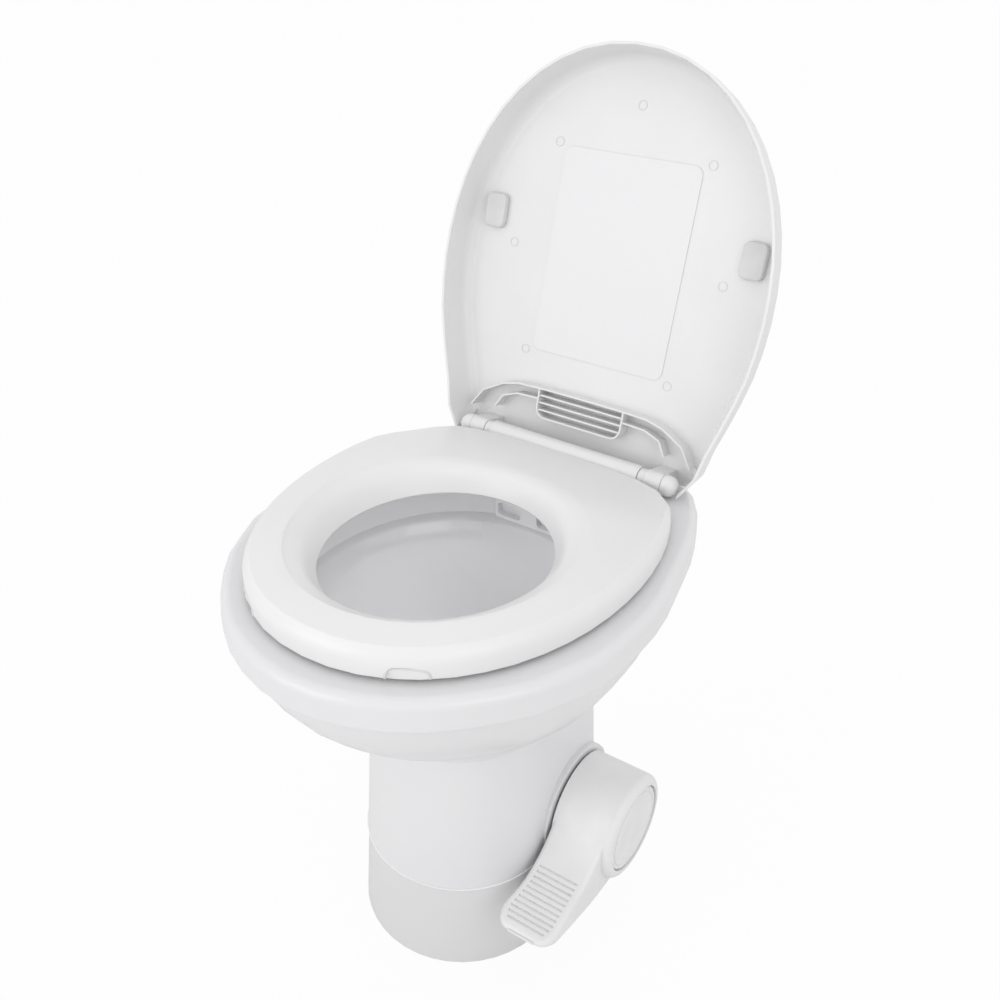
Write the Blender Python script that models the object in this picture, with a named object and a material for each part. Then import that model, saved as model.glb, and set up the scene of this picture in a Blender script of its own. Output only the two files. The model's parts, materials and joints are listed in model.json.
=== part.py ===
import math

import bmesh
import bpy
from mathutils import Vector

# Fits
FIT_GAP = 0.0003
RUN_GAP = 0.00006

# Pieces whose many Boolean steps the exact solver leaves open
MANIFOLD_PIECES = ("lid", "pedestal_shell")

# Mesh counts
SHELL_STEPS = 48
ROUND_STEPS = 24
SMALL_STEPS = 16
DRUM_STEPS = 40

# Walls of the moulded pieces
PEDESTAL_WALL = 0.004
BOWL_WALL = 0.0035
SEAT_WALL = 0.004
LID_WALL = 0.0025
LID_PANEL = 0.003

# Pedestal outline
FOOT_RADIUS = 0.102
FOOT_TAPER_share = 0.0625
FRONT_CENTRE_Y = -0.0395
REAR_CENTRE_Y = 0.044
REAR_CORNER = 0.060
SEAM_Z = 0.0982
PEDESTAL_TOP_Z = 0.254
SHELL_PROUD = 0.0008
TONGUE_DEPTH = 0.010
EDGE_ROUND = 0.0006

# Floor joint
FLOOR_PLATE_Z = 0.010
FLOOR_PLATE_THICK = 0.005
BOLT_X = 0.072
BOLT_Y = -0.010
BOLT_RADIUS = 0.0035
BOLT_HEAD_RADIUS = 0.009
BOLT_HEAD_THICK = 0.003
BOLT_TOP_Z = 0.030
BOLT_HOLE_RADIUS = 0.0048
NUT_RADIUS = 0.009
NUT_THICK = 0.0075
WASHER_RADIUS = 0.011
WASHER_THICK = 0.0018
GASKET_OUTER = 0.064

# Pedal axis and the pieces on it
PEDAL_Y = 0.022
PEDAL_Z = 0.123
BOSS_RADIUS = 0.0595
BOSS_IN_X = 0.076
BOSS_OUT_X = 0.0972
SHAFT_RADIUS = 0.006
SHAFT_IN_X = 0.0312
SHAFT_OUT_X = 0.152
BUSH_RADIUS = 0.010
BUSH_FLANGE = 0.013
BUSH_FLANGE_THICK = 0.002
CRANK_IN_X = 0.052
CRANK_OUT_X = 0.060
CRANK_REACH = 0.024
CRANK_HALF = 0.004
CRANK_NOSE = 0.0065

# Pedal
DRUM_RADIUS = 0.054
DRUM_IN_X = 0.0998
DRUM_OUT_X = 0.1635
DRUM_ROUND = 0.008
DRUM_WALL = 0.004
DRUM_FACE_X = 0.1545
CAP_RADIUS = 0.044
CAP_OUT_X = 0.1622
CAP_EDGE = 0.0015
NOTCH_HALF = 0.003
NOTCH_DEPTH = 0.0025
HUB_RADIUS = 0.014
SCREW_HEAD_RADIUS = 0.0075
SCREW_HEAD_THICK = 0.0028
SCREW_RADIUS = 0.0025
SCREW_LENGTH = 0.016
PLATE_OUT_X = 0.156
PLATE_TIP_Y = -0.126
PLATE_LEFT_CORNER = 0.026
PLATE_RIGHT_CORNER = 0.018
PLATE_EDGE_ROUND = 0.005
PLATE_IN_LINE = [
    (0.020, 0.1000),
    (-0.050, 0.1003),
    (-0.070, 0.1007),
    (-0.080, 0.1003),
    (-0.090, 0.0991),
    (-0.100, 0.0972),
    (-0.110, 0.0942),
    (-0.126, 0.0892),
]
ARM_TOP_LINE = [
    (0.020, 0.170),
    (-0.005, 0.165),
    (-0.020, 0.1535),
    (-0.028, 0.1430),
    (-0.035, 0.1345),
    (-0.042, 0.1275),
    (-0.055, 0.1190),
    (-0.072, 0.1115),
    (-0.090, 0.1055),
    (-0.105, 0.1010),
    (-0.118, 0.0975),
    (-0.126, 0.0955),
]
ARM_BOTTOM_LINE = [
    (0.020, 0.0740),
    (-0.005, 0.0730),
    (-0.028, 0.0730),
    (-0.047, 0.0745),
    (-0.066, 0.0775),
    (-0.085, 0.0810),
    (-0.104, 0.0850),
    (-0.126, 0.0890),
]
PLATE_START_Y = 0.004
PLATE_station_shares = [
    0.0, 0.04, 0.09, 0.14, 0.185, 0.23, 0.275, 0.32, 0.37, 0.45, 0.54, 0.63, 0.70,
    0.76, 0.81, 0.855, 0.895, 0.93, 0.955, 0.973, 0.986, 0.995, 1.0,
]
GROOVE_COUNT = 11
GROOVE_FIRST_Y = -0.1165
GROOVE_STEP = 0.0053
GROOVE_WIDTH = 0.0022
GROOVE_DEPTH = 0.0013
GROOVE_SIDE = 0.007

# Return spring
SPRING_RADIUS = 0.022
SPRING_WIRE = 0.0014
SPRING_TURNS = 4
SPRING_STEPS = 10
SPRING_SIDES = 6
SPRING_IN_X = 0.106
SPRING_OUT_X = 0.122

# Flush valve
BALL_RADIUS = 0.086
BLADE_ANGLE_deg = 20.0
BLADE_THICK = 0.003
BLADE_ARM_IN = 0.0262
BLADE_ARM_OUT = 0.0305
BLADE_HUB_RADIUS = 0.0105
BLADE_HUB_IN = 0.0258
BLADE_HUB_OUT = 0.0360
BLADE_ARM_HALF = 0.009
PIN_RADIUS = 0.005
PIN_IN_X = 0.0272
PIN_HEAD_RADIUS = 0.009
CHAMBER_HALF = 0.042
CHAMBER_FRONT_Y = -0.055
CHAMBER_REAR_Y = 0.060
CHAMBER_CORNER = 0.018
CHAMBER_WALL = 0.0035
CHAMBER_HEADROOM = 0.009
CHAMBER_TOP_Z = PEDAL_Z + BALL_RADIUS + CHAMBER_HEADROOM
CHAMBER_LOW_Z = 0.085
CHAMBER_PLATE = 0.005
PIPE_RADIUS = 0.0410
PIPE_WALL = 0.0035
PIPE_Z = 0.058
PIPE_Y = 0.0
OUTLET_RADIUS = 0.0266
SEAL_RADIUS = 0.033
SEAL_FLANGE = 0.039
SEAL_FLANGE_THICK = 0.004

# Rim and bowl
RIM_TOP_Z = 0.429
RIM_LOW_Z = 0.401
RIM_ROUND = 0.009
RIM_WALL = 0.004
RIM_HALF = [
    (0.0, -0.260),
    (0.055, -0.2495),
    (0.105, -0.221),
    (0.150, -0.173),
    (0.166, -0.143),
    (0.181, -0.109),
    (0.186, -0.055),
    (0.185, -0.017),
    (0.182, 0.002),
    (0.173, 0.043),
    (0.164, 0.083),
    (0.153, 0.115),
    (0.140, 0.141),
    (0.121, 0.165),
    (0.090, 0.183),
    (0.045, 0.190),
    (0.0, 0.1915),
]
RIM_OPENING_Y = -0.063
RIM_OPENING_HALF = 0.129
RIM_OPENING_LONG = 0.143
RIM_LIP_Z = 0.414
LINER_FLANGE_Z = 0.4215
LINER_FLANGE_WIDTH = 0.012
LINER_PROFILE = [
    (0.4150, 0.1335, 0.1475, -0.063),
    (0.3930, 0.1330, 0.1470, -0.062),
    (0.3850, 0.1320, 0.1460, -0.061),
    (0.3825, 0.1270, 0.1400, -0.060),
    (0.3795, 0.1225, 0.1350, -0.0595),
    (0.3580, 0.111, 0.124, -0.057),
    (0.3200, 0.090, 0.103, -0.040),
    (0.2800, 0.063, 0.071, -0.014),
    (0.2500, 0.040, 0.044, 0.0085),
    (0.2340, 0.031, 0.032, 0.0195),
    (0.2235, 0.0285, 0.0285, 0.022),
]
BOWL_TOP_INSET = 0.0075
BOWL_TOP_Z = 0.4045
BOWL_BASE_Z = 0.2543
BOWL_BASE_OUT = 0.0022
BOWL_out_shares = [1.0, 0.98, 0.91, 0.80, 0.66, 0.50, 0.33, 0.16, 0.045, 0.0]
BOWL_up_shares = [1.0, 0.91, 0.77, 0.63, 0.50, 0.39, 0.29, 0.19, 0.10, 0.0]
SPOUT_HALF = 0.039
SPOUT_FRONT_Y = 0.0700
SPOUT_REAR_Y = 0.0860
SPOUT_LOW_Z = 0.3865
SPOUT_TOP_Z = 0.409
SPOUT_ROUND = 0.0036
SPOUT_RECESS_HALF = 0.0125
SPOUT_RECESS_X = 0.022
SPOUT_RECESS_LOW_Z = 0.3915
SPOUT_RECESS_TOP_Z = 0.4045
SPOUT_RECESS_DEPTH = 0.007
SPOUT_PIPE_Z = 0.398
SPOUT_PIPE_REAR_Y = 0.092
SPOUT_HOLE = 0.0056

# Water supply
VALVE_X = 0.056
VALVE_Y = 0.046
VALVE_LOW_Z = 0.155
VALVE_TOP_Z = 0.200
VALVE_RADIUS = 0.012
NIPPLE_RADIUS = 0.0045
NIPPLE_LENGTH = 0.012
ARM_RADIUS = 0.008
ARM_Z = 0.174
ARM_Y = 0.077
INLET_X = 0.015
INLET_OUT_Y = 0.126
INLET_BORE = 0.0045
ROD_RADIUS = 0.003
ROD_TRAVEL = 0.0134
ROD_IN_VALVE = 0.008
INLET_NUT_RADIUS = 0.015
INLET_NUT_IN_Y = 0.108
INLET_NUT_OUT_Y = 0.1235
BREAKER_Y = 0.148
BREAKER_LONG = 0.047
BREAKER_TOP_Z = RIM_LOW_Z + RIM_WALL
BREAKER_LOW_Z = BREAKER_TOP_Z - BREAKER_LONG
BREAKER_RADIUS = 0.016
BREAKER_WALL = 0.0025
BREAKER_LIP = 0.009
POPPET_RADIUS = 0.012
POPPET_STEM = 0.005
POPPET_SEAT_GAP = FIT_GAP
POPPET_THICK = 0.004
POPPET_LENGTH = 0.032
TUBE_RADIUS = 0.0074
TUBE_BORE = 0.0056
TUBE_STRAIGHT = 0.009
TUBE_SIDES = 8

# Hinge
HINGE_Y = 0.1337
HINGE_Z = 0.4407
BARREL_RADIUS = 0.0108
BARREL_HALF = 0.083
POST_SIDE_GAP = 0.0004
POST_THICK = 0.0067
POST_IN_X = BARREL_HALF + POST_SIDE_GAP
POST_OUT_X = POST_IN_X + POST_THICK
POST_HALF = 0.0092
POST_STEM_RADIUS = 0.003
POST_STEM_LOW_Z = 0.403
KNUCKLE_LONG = 0.017
KNUCKLE_IN_X = POST_OUT_X + POST_SIDE_GAP
KNUCKLE_OUT_X = KNUCKLE_IN_X + KNUCKLE_LONG
KNUCKLE_RADIUS = 0.0102
KNUCKLE_EDGE = 0.0005
CAP_LONG = 0.015
CAP_END_X = KNUCKLE_OUT_X + CAP_LONG
CAP_BALL = 0.0100
HINGE_PIN_RADIUS = 0.0032
PIN_IN_BARREL = 0.017
PIN_END_GAP = 0.0007
HINGE_PIN_IN_X = BARREL_HALF - PIN_IN_BARREL
HINGE_PIN_OUT_X = KNUCKLE_OUT_X - PIN_END_GAP
HINGE_NUT_RADIUS = 0.0085
HINGE_NUT_THICK = 0.006
WING_REACH = 0.012
WING_HALF = 0.0014
WING_DROP = 0.007

# Seat
SEAT_SPINE = (-0.100, 0.050)
SEAT_LOW_Z = 0.4327
SEAT_CREST_RISE = 0.0281
SEAT_CREST_Z = SEAT_LOW_Z + SEAT_CREST_RISE
SEAT_EDGE_RISE = 0.0203
SEAT_EDGE_Z = SEAT_LOW_Z + SEAT_EDGE_RISE
SEAT_MID_Y = -0.030
SEAT_HALF = 0.1645
SEAT_FRONT_LONG = 0.207
SEAT_FRONT_power = 2.1
SEAT_REAR_LONG = 0.220
SEAT_REAR_CORNER = 0.156
SEAT_CORNER_power = 20
SEAT_INNER_PROFILE = [
    (0.4575, 0.119, 0.126, -0.075),
    (0.4545, 0.112, 0.1195, -0.0745),
    (0.4500, 0.1065, 0.1145, -0.074),
    (0.4450, 0.1030, 0.1115, -0.074),
    (0.4390, 0.0990, 0.1080, -0.073),
    (0.4345, 0.0970, 0.1060, -0.0725),
]
SEAT_RECESS_Z = 0.4490
SEAT_DROP = 0.0105
SEAT_DROP_START_Y = 0.020
SEAT_DROP_END_Y = 0.095
SEAT_NECK_FRONT_Y = 0.112
SEAT_NECK_LOW_Z = 0.4345
SEAT_NECK_TOP_Z = 0.4435
SEAT_NOTCH_X = 0.081
SEAT_NOTCH_Y = -0.2157
SEAT_NOTCH_TURN_deg = 27.1
SEAT_NOTCH_HALF = 0.0155
SEAT_NOTCH_TOP_Z = 0.4440
SEAT_NOTCH_ROUND = 0.0065
SEAT_NOTCH_DEPTH = 0.0032
SEAT_FOOT_HALF = 0.006
SEAT_FOOT_LONG = 0.014
SEAT_FEET = [(0.1235, -0.140), (0.1465, 0.030)]

# Lid
LID_LIP_Z = 0.4340
LID_PANEL_Z = 0.4688
LID_CROWN = 0.0022
LID_HOLD_share = 0.03
LID_ROUND = 0.0135
LID_DRAFT = 0.003
LID_SPINE = (-0.090, 0.060)
LID_OPEN_deg = 105.4
LID_REAR_REACH = 0.009
LID_REAR_SLOPE_share = 0.16
LID_HALF = 0.1695
LID_FRONT_LONG = 0.212
LID_REAR = [
    (0.1677, 0.0010),
    (0.1635, 0.0290),
    (0.1532, 0.0675),
    (0.1465, 0.0880),
    (0.1410, 0.1100),
    (0.1380, 0.1240),
    (0.1320, 0.1360),
    (0.1230, 0.1425),
    (0.1100, 0.1427),
    (0.0, 0.1427),
]
CAP_LID_GAP = 0.002
LID_OPENING_HALF = CAP_END_X + CAP_LID_GAP
LID_BUMPER_X = 0.1365
LID_BUMPER_Y = -0.078
LID_BUMPER_HALF_X = 0.0115
LID_BUMPER_HALF_Y = 0.0165
LID_BUMPER_ROUND = 0.006
LID_BUMPER_LOW_Z = 0.4614
LABEL_HALF = 0.0715
LABEL_FRONT_Y = -0.149
LABEL_REAR_Y = 0.047
LABEL_ROUND = 0.009
LABEL_THICK = 0.0004
RIB_LOW_Z = 0.4535
RIB_HALF = 0.0008
RIB_SINK = 0.001
OUTER_ARCH = [(0.124, 0.117), (0.112, 0.099), (0.090, 0.087), (0.072, 0.0825), (0.040, 0.0815), (0.0, 0.0812)]
INNER_ARCH = [(0.0960, 0.112), (0.088, 0.099), (0.072, 0.0930), (0.047, 0.0920)]
BOX_HALF = 0.047
BOX_REAR_Y = 0.110
BOX_ROUND = 0.010
BOX_LINE_COUNT = 3


def clear_scene():
    for old in list(bpy.data.objects):
        bpy.data.objects.remove(old, do_unlink=True)


def material(name, colour, roughness, metallic=0.0):
    made = bpy.data.materials.new(name)
    made.use_nodes = True
    shader = made.node_tree.nodes["Principled BSDF"]
    shader.inputs["Base Color"].default_value = (*colour, 1.0)
    shader.inputs["Roughness"].default_value = roughness
    shader.inputs["Metallic"].default_value = metallic
    made.diffuse_color = (*colour, 1.0)
    return made


def white_plastic(name):
    return material(name, (0.86, 0.86, 0.86), 0.28)


def bowl_plastic(name):
    return material(name, (0.72, 0.73, 0.75), 0.22)


def hidden_plastic(name):
    return material(name, (0.62, 0.64, 0.66), 0.45)


def dark_plastic(name):
    return material(name, (0.10, 0.10, 0.11), 0.5)


def rubber(name):
    return material(name, (0.05, 0.05, 0.05), 0.7)


def soft_white(name):
    return material(name, (0.80, 0.80, 0.79), 0.6)


def steel(name):
    return material(name, (0.60, 0.61, 0.63), 0.3, 1.0)


# Put a mesh into the scene, with its origin on the pivot it is given
def finish(name, bm, paint, pivot=None):
    bmesh.ops.recalc_face_normals(bm, faces=bm.faces)
    if bm.calc_volume(signed=True) < 0:
        bmesh.ops.reverse_faces(bm, faces=bm.faces)
    if pivot is not None:
        bmesh.ops.translate(bm, verts=bm.verts, vec=-pivot.location)
    mesh = bpy.data.meshes.new(name)
    bm.to_mesh(mesh)
    bm.free()
    mesh.polygons.foreach_set("use_smooth", [True] * len(mesh.polygons))
    mesh.set_sharp_from_angle(angle=math.radians(35))
    if paint is not None:
        mesh.materials.append(paint)
    made = bpy.data.objects.new(name, mesh)
    bpy.context.scene.collection.objects.link(made)
    if pivot is not None:
        made.parent = pivot
    return made


def pivot_empty(name, place, turn_deg=0.0):
    made = bpy.data.objects.new(name, None)
    bpy.context.scene.collection.objects.link(made)
    made.location = place
    made.rotation_euler = (math.radians(turn_deg), 0.0, 0.0)
    return made


# Keep a cutter or an added piece out of the render
def guide(thing):
    thing.hide_render = True
    thing.display_type = "WIRE"
    return thing


def boolean(target, tool, operation):
    step = target.modifiers.new(operation.lower(), "BOOLEAN")
    step.operation = operation
    step.solver = "MANIFOLD" if target.name in MANIFOLD_PIECES else "EXACT"
    step.object = guide(tool)
    return target


def cut(target, tool):
    return boolean(target, tool, "DIFFERENCE")


def join(target, tool):
    return boolean(target, tool, "UNION")


# One closed skin through rings of equal count; a ring of one point is a tip
def loft(name, rings, paint, closed=False, pivot=None):
    bm = bmesh.new()
    rows = [[bm.verts.new(point) for point in ring] for ring in rings]
    pairs = list(zip(rows, rows[1:]))
    if closed:
        pairs.append((rows[-1], rows[0]))
    for first, second in pairs:
        count = max(len(first), len(second))
        for i in range(count):
            corners = []
            for row, step in ((first, i - 1), (first, i), (second, i), (second, i - 1)):
                corner = row[step % len(row)]
                if corner not in corners:
                    corners.append(corner)
            bm.faces.new(corners)
    if not closed:
        for row in (rows[0], rows[-1]):
            if len(row) > 2:
                bm.faces.new(row)
    return finish(name, bm, paint, pivot)


def circle(radius, count):
    turn = 2 * math.pi / count
    return [(radius * math.sin(i * turn), -radius * math.cos(i * turn)) for i in range(count)]


def on_axis(axis, place, pair, along):
    u, v = pair
    x, y, z = place
    if axis == "X":
        return (x + along, y + u, z + v)
    if axis == "Y":
        return (x + u, y + along, z + v)
    return (x + u, y + v, z + along)


# Turn a profile of (radius, along) round an axis
def turned(name, profile, axis, place, paint, steps=ROUND_STEPS, closed=False, pivot=None):
    rings = []
    for radius, along in profile:
        if radius == 0:
            rings.append([on_axis(axis, place, (0.0, 0.0), along)])
        else:
            rings.append([on_axis(axis, place, pair, along) for pair in circle(radius, steps)])
    return loft(name, rings, paint, closed, pivot)


def rod(name, radius, low, high, axis, place, paint=None, steps=ROUND_STEPS, pivot=None):
    profile = [(0, low), (radius, low), (radius, high), (0, high)]
    return turned(name, profile, axis, place, paint, steps, False, pivot)


def bore(radius, steps=ROUND_STEPS):
    return (radius + RUN_GAP) / math.cos(math.pi / steps)


def block(name, low, high, paint=None, pivot=None):
    base = [(low[0], low[1]), (high[0], low[1]), (high[0], high[1]), (low[0], high[1])]
    rings = [[(x, y, low[2]) for x, y in base], [(x, y, high[2]) for x, y in base]]
    return loft(name, rings, paint, False, pivot)


def resample(points, count):
    lengths = [0.0]
    closed = list(points) + [points[0]]
    for a, b in zip(closed, closed[1:]):
        lengths.append(lengths[-1] + math.hypot(b[0] - a[0], b[1] - a[1]))
    made = []
    spot = 0
    for i in range(count):
        goal = lengths[-1] * i / count
        while lengths[spot + 1] < goal:
            spot += 1
        share = (goal - lengths[spot]) / (lengths[spot + 1] - lengths[spot])
        a, b = closed[spot], closed[spot + 1]
        made.append((a[0] + (b[0] - a[0]) * share, a[1] + (b[1] - a[1]) * share))
    return made


# Smooth closed curve through points, as straight steps
def spline(points, per=10):
    made = []
    count = len(points)
    for i in range(count):
        a, b, c, d = (points[(i + k - 1) % count] for k in range(4))
        for k in range(per):
            t = k / per
            made.append(tuple(
                b[j] + 0.5 * t * (c[j] - a[j])
                + t * t * (a[j] - 2.5 * b[j] + 2 * c[j] - 0.5 * d[j])
                + t * t * t * (1.5 * b[j] - 0.5 * a[j] - 1.5 * c[j] + 0.5 * d[j])
                for j in range(2)
            ))
    return made


def mirrored(half):
    return list(half) + [(-x, y) for x, y in reversed(half[1:-1])]


def inset(points, amount):
    made = []
    count = len(points)
    for i in range(count):
        ax, ay = points[i - 1]
        bx, by = points[(i + 1) % count]
        length = math.hypot(bx - ax, by - ay)
        x, y = points[i]
        made.append((x - (by - ay) / length * amount, y + (bx - ax) / length * amount))
    return made


# Draw an outline in towards a spine on the middle plane; its corners never cross
def shrink(points, amount, low, high):
    made = []
    for x, y in points:
        spine = min(max(y, low), high)
        length = math.hypot(x, y - spine)
        share = amount / length
        made.append((x - x * share, y - (y - spine) * share))
    return made


def between(first, second, share):
    return [(a[0] + (b[0] - a[0]) * share, a[1] + (b[1] - a[1]) * share) for a, b in zip(first, second)]


def level(points, z):
    return [(x, y, z) for x, y in points]


def ellipse(half, long, y, count=SHELL_STEPS):
    fine = [(half * px, y + long * py) for px, py in circle(1.0, count * 4)]
    return resample(fine, count)


def rounded_rectangle(low_x, low_y, high_x, high_y, radius, per=6):
    made = []
    corners = [
        (high_x - radius, low_y + radius, -90),
        (high_x - radius, high_y - radius, 0),
        (low_x + radius, high_y - radius, 90),
        (low_x + radius, low_y + radius, 180),
    ]
    for x, y, start in corners:
        for k in range(per + 1):
            turn = math.radians(start + 90 * k / per)
            made.append((x + radius * math.cos(turn), y + radius * math.sin(turn)))
    middle = ((low_x + high_x) / 2, low_y)
    return [middle] + made


def prism(name, outline, low, high, paint=None, pivot=None):
    return loft(name, [level(outline, low), level(outline, high)], paint, False, pivot)


# Hollow or solid sweep along a path of points
def tube(name, path, radius, inner, paint, sides=TUBE_SIDES, pivot=None):
    points = [Vector(point) for point in path]
    frames = []
    side = None
    for i, point in enumerate(points):
        ahead = points[min(i + 1, len(points) - 1)] - points[max(i - 1, 0)]
        ahead.normalize()
        if side is None:
            side = ahead.orthogonal().normalized()
        side = (side - ahead * side.dot(ahead)).normalized()
        frames.append((point, side.copy(), ahead.cross(side)))

    def ring(frame, size):
        point, first, second = frame
        return [tuple(point + first * px + second * py) for px, py in circle(size, sides)]

    outside = [ring(frame, radius) for frame in frames]
    if inner == 0:
        return loft(name, outside, paint, False, pivot)
    inside = [ring(frame, inner) for frame in reversed(frames)]
    return loft(name, outside + inside, paint, True, pivot)


# Smooth open path through points
def bend(points, per=3):
    made = []
    count = len(points)
    for i in range(count - 1):
        b, c = Vector(points[i]), Vector(points[i + 1])
        a = Vector(points[i - 1]) if i > 0 else b * 2 - c
        d = Vector(points[i + 2]) if i + 2 < count else c * 2 - b
        for k in range(per):
            t = k / per
            made.append(
                b + 0.5 * t * (c - a)
                + t * t * (a - 2.5 * b + 2 * c - 0.5 * d)
                + t * t * t * (1.5 * b - 0.5 * a - 1.5 * c + 0.5 * d)
            )
    made.append(Vector(points[-1]))
    return made


def foot_half(z):
    return FOOT_RADIUS - FOOT_TAPER_share * z


# Pedestal outline: round front, straight sides, rounded rear corners
def pedestal_outline(z, inside=0.0, count=SHELL_STEPS):
    half = foot_half(z)
    points = []
    for k in range(25):
        turn = math.radians(90 * k / 24)
        points.append((half * math.sin(turn), FRONT_CENTRE_Y - half * math.cos(turn)))
    for k in range(13):
        turn = math.radians(90 * k / 12)
        x = half - REAR_CORNER + REAR_CORNER * math.cos(turn)
        points.append((x, REAR_CENTRE_Y + REAR_CORNER * math.sin(turn)))
    points.append((0.0, REAR_CENTRE_Y + REAR_CORNER))
    return inset(resample(mirrored(points), count), inside)


def pedestal_ring(z, inside=0.0):
    return level(pedestal_outline(z, inside), z)


def build_base():
    seam = SEAM_Z - FIT_GAP
    rings = [
        pedestal_ring(0.0, PEDESTAL_WALL),
        pedestal_ring(0.0),
        pedestal_ring(seam - EDGE_ROUND),
        pedestal_ring(seam, EDGE_ROUND),
        pedestal_ring(seam, PEDESTAL_WALL),
        pedestal_ring(seam - EDGE_ROUND, PEDESTAL_WALL),
    ]
    skirt = loft("base_skirt", rings, white_plastic("base_skirt_white"), True)
    plate = prism(
        "floor_plate",
        pedestal_outline(FLOOR_PLATE_Z, PEDESTAL_WALL / 2),
        FLOOR_PLATE_Z,
        FLOOR_PLATE_Z + FLOOR_PLATE_THICK,
    )
    join(skirt, plate)
    pipe_hole = rod(
        "pipe_hole",
        (PIPE_RADIUS + FIT_GAP) / math.cos(math.pi / ROUND_STEPS),
        0.0,
        FLOOR_PLATE_Z + FLOOR_PLATE_THICK * 2,
        "Z",
        (0.0, PIPE_Y, 0.0),
    )
    cut(skirt, pipe_hole)
    for side, name in ((-1, "left"), (1, "right")):
        place = (side * BOLT_X, BOLT_Y, 0.0)
        top = FLOOR_PLATE_Z * 2
        hole = rod("bolt_hole_" + name, BOLT_HOLE_RADIUS, 0.0, top, "Z", place, steps=SMALL_STEPS)
        cut(skirt, hole)
    boss_space = rod(
        "boss_space",
        (BOSS_RADIUS + FIT_GAP) / math.cos(math.pi / ROUND_STEPS),
        BOSS_IN_X - FIT_GAP,
        DRUM_OUT_X,
        "X",
        (0.0, PEDAL_Y, PEDAL_Z),
    )
    cut(skirt, boss_space)


def build_gasket():
    half = PIPE_RADIUS - PIPE_WALL
    profile = [
        (half, 0.0),
        (GASKET_OUTER - EDGE_ROUND, 0.0),
        (GASKET_OUTER, EDGE_ROUND),
        (GASKET_OUTER, FLOOR_PLATE_Z - FIT_GAP),
        (half, FLOOR_PLATE_Z - FIT_GAP),
    ]
    turned("floor_gasket", profile, "Z", (0.0, PIPE_Y, 0.0), rubber("gasket_rubber"), closed=True)


def build_floor_bolt(side, name):
    place = (side * BOLT_X, BOLT_Y, 0.0)
    profile = [
        (0, 0.0),
        (BOLT_HEAD_RADIUS, 0.0),
        (BOLT_HEAD_RADIUS, BOLT_HEAD_THICK),
        (BOLT_RADIUS, BOLT_HEAD_THICK),
        (BOLT_RADIUS, BOLT_TOP_Z - EDGE_ROUND),
        (BOLT_RADIUS - EDGE_ROUND, BOLT_TOP_Z),
        (0, BOLT_TOP_Z),
    ]
    turned("floor_bolt_" + name, profile, "Z", place, steel("bolt_steel_" + name), SMALL_STEPS)


# Hexagon nut with a washer face, open through the middle
def hex_nut(name, radius, washer, low, washer_top, top, inner, axis, place, paint, pivot=None):
    hexagon = resample(circle(radius, 6), SMALL_STEPS)
    hole = circle(inner, SMALL_STEPS)
    flange = circle(washer, SMALL_STEPS)
    steps = [
        (hole, low),
        (flange, low),
        (flange, washer_top),
        (hexagon, washer_top),
        (hexagon, top - EDGE_ROUND),
        (between(hexagon, circle(radius * 0.9, SMALL_STEPS), 0.5), top),
        (hole, top),
    ]
    rings = [[on_axis(axis, place, pair, along) for pair in outline] for outline, along in steps]
    return loft(name, rings, paint, True, pivot)


def build_floor_nut(side, name):
    place = (side * BOLT_X, BOLT_Y, 0.0)
    low = FLOOR_PLATE_Z + FLOOR_PLATE_THICK + FIT_GAP
    hex_nut(
        "floor_nut_" + name,
        NUT_RADIUS,
        WASHER_RADIUS,
        low,
        low + WASHER_THICK,
        low + WASHER_THICK + NUT_THICK,
        bore(BOLT_RADIUS, SMALL_STEPS),
        "Z",
        place,
        steel("nut_steel_" + name),
    )


def build_pedestal_shell():
    low = SEAM_Z
    tongue = low - TONGUE_DEPTH
    slip = PEDESTAL_WALL + FIT_GAP
    rings = [
        pedestal_ring(tongue, slip + PEDESTAL_WALL / 2),
        pedestal_ring(tongue, slip),
        pedestal_ring(low, slip),
        pedestal_ring(low, EDGE_ROUND - SHELL_PROUD),
        pedestal_ring(low + EDGE_ROUND, -SHELL_PROUD),
        pedestal_ring((low + PEDESTAL_TOP_Z) / 2, -SHELL_PROUD),
        pedestal_ring(PEDESTAL_TOP_Z, -SHELL_PROUD),
        pedestal_ring(PEDESTAL_TOP_Z, slip),
        pedestal_ring(low + TONGUE_DEPTH, slip),
        pedestal_ring(low, slip + PEDESTAL_WALL / 2),
    ]
    shell = loft("pedestal_shell", rings, white_plastic("pedestal_shell_white"), True)
    place = (0.0, PEDAL_Y, PEDAL_Z)
    profile = [
        (0, BOSS_IN_X),
        (BOSS_RADIUS, BOSS_IN_X),
        (BOSS_RADIUS, BOSS_OUT_X - EDGE_ROUND),
        (BOSS_RADIUS - EDGE_ROUND, BOSS_OUT_X),
        (0, BOSS_OUT_X),
    ]
    join(shell, turned("pedal_boss", profile, "X", place, None))
    cut(shell, rod("bush_hole", bore(BUSH_RADIUS), CHAMBER_HALF, DRUM_OUT_X, "X", place))
    inlet = rod(
        "inlet_hole",
        ARM_RADIUS + FIT_GAP * 2,
        ARM_Y,
        INLET_OUT_Y,
        "Y",
        (INLET_X, 0.0, ARM_Z),
        steps=SMALL_STEPS,
    )
    cut(shell, inlet)


def build_bush():
    inner = bore(SHAFT_RADIUS)
    profile = [
        (inner, BOSS_IN_X - BUSH_FLANGE_THICK),
        (BUSH_FLANGE, BOSS_IN_X - BUSH_FLANGE_THICK),
        (BUSH_FLANGE, BOSS_IN_X - FIT_GAP),
        (BUSH_RADIUS, BOSS_IN_X - FIT_GAP),
        (BUSH_RADIUS, BOSS_OUT_X + FIT_GAP),
        (inner, BOSS_OUT_X + FIT_GAP),
    ]
    place = (0.0, PEDAL_Y, PEDAL_Z)
    turned("shaft_bush", profile, "X", place, hidden_plastic("bush_plastic"), closed=True)


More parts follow.
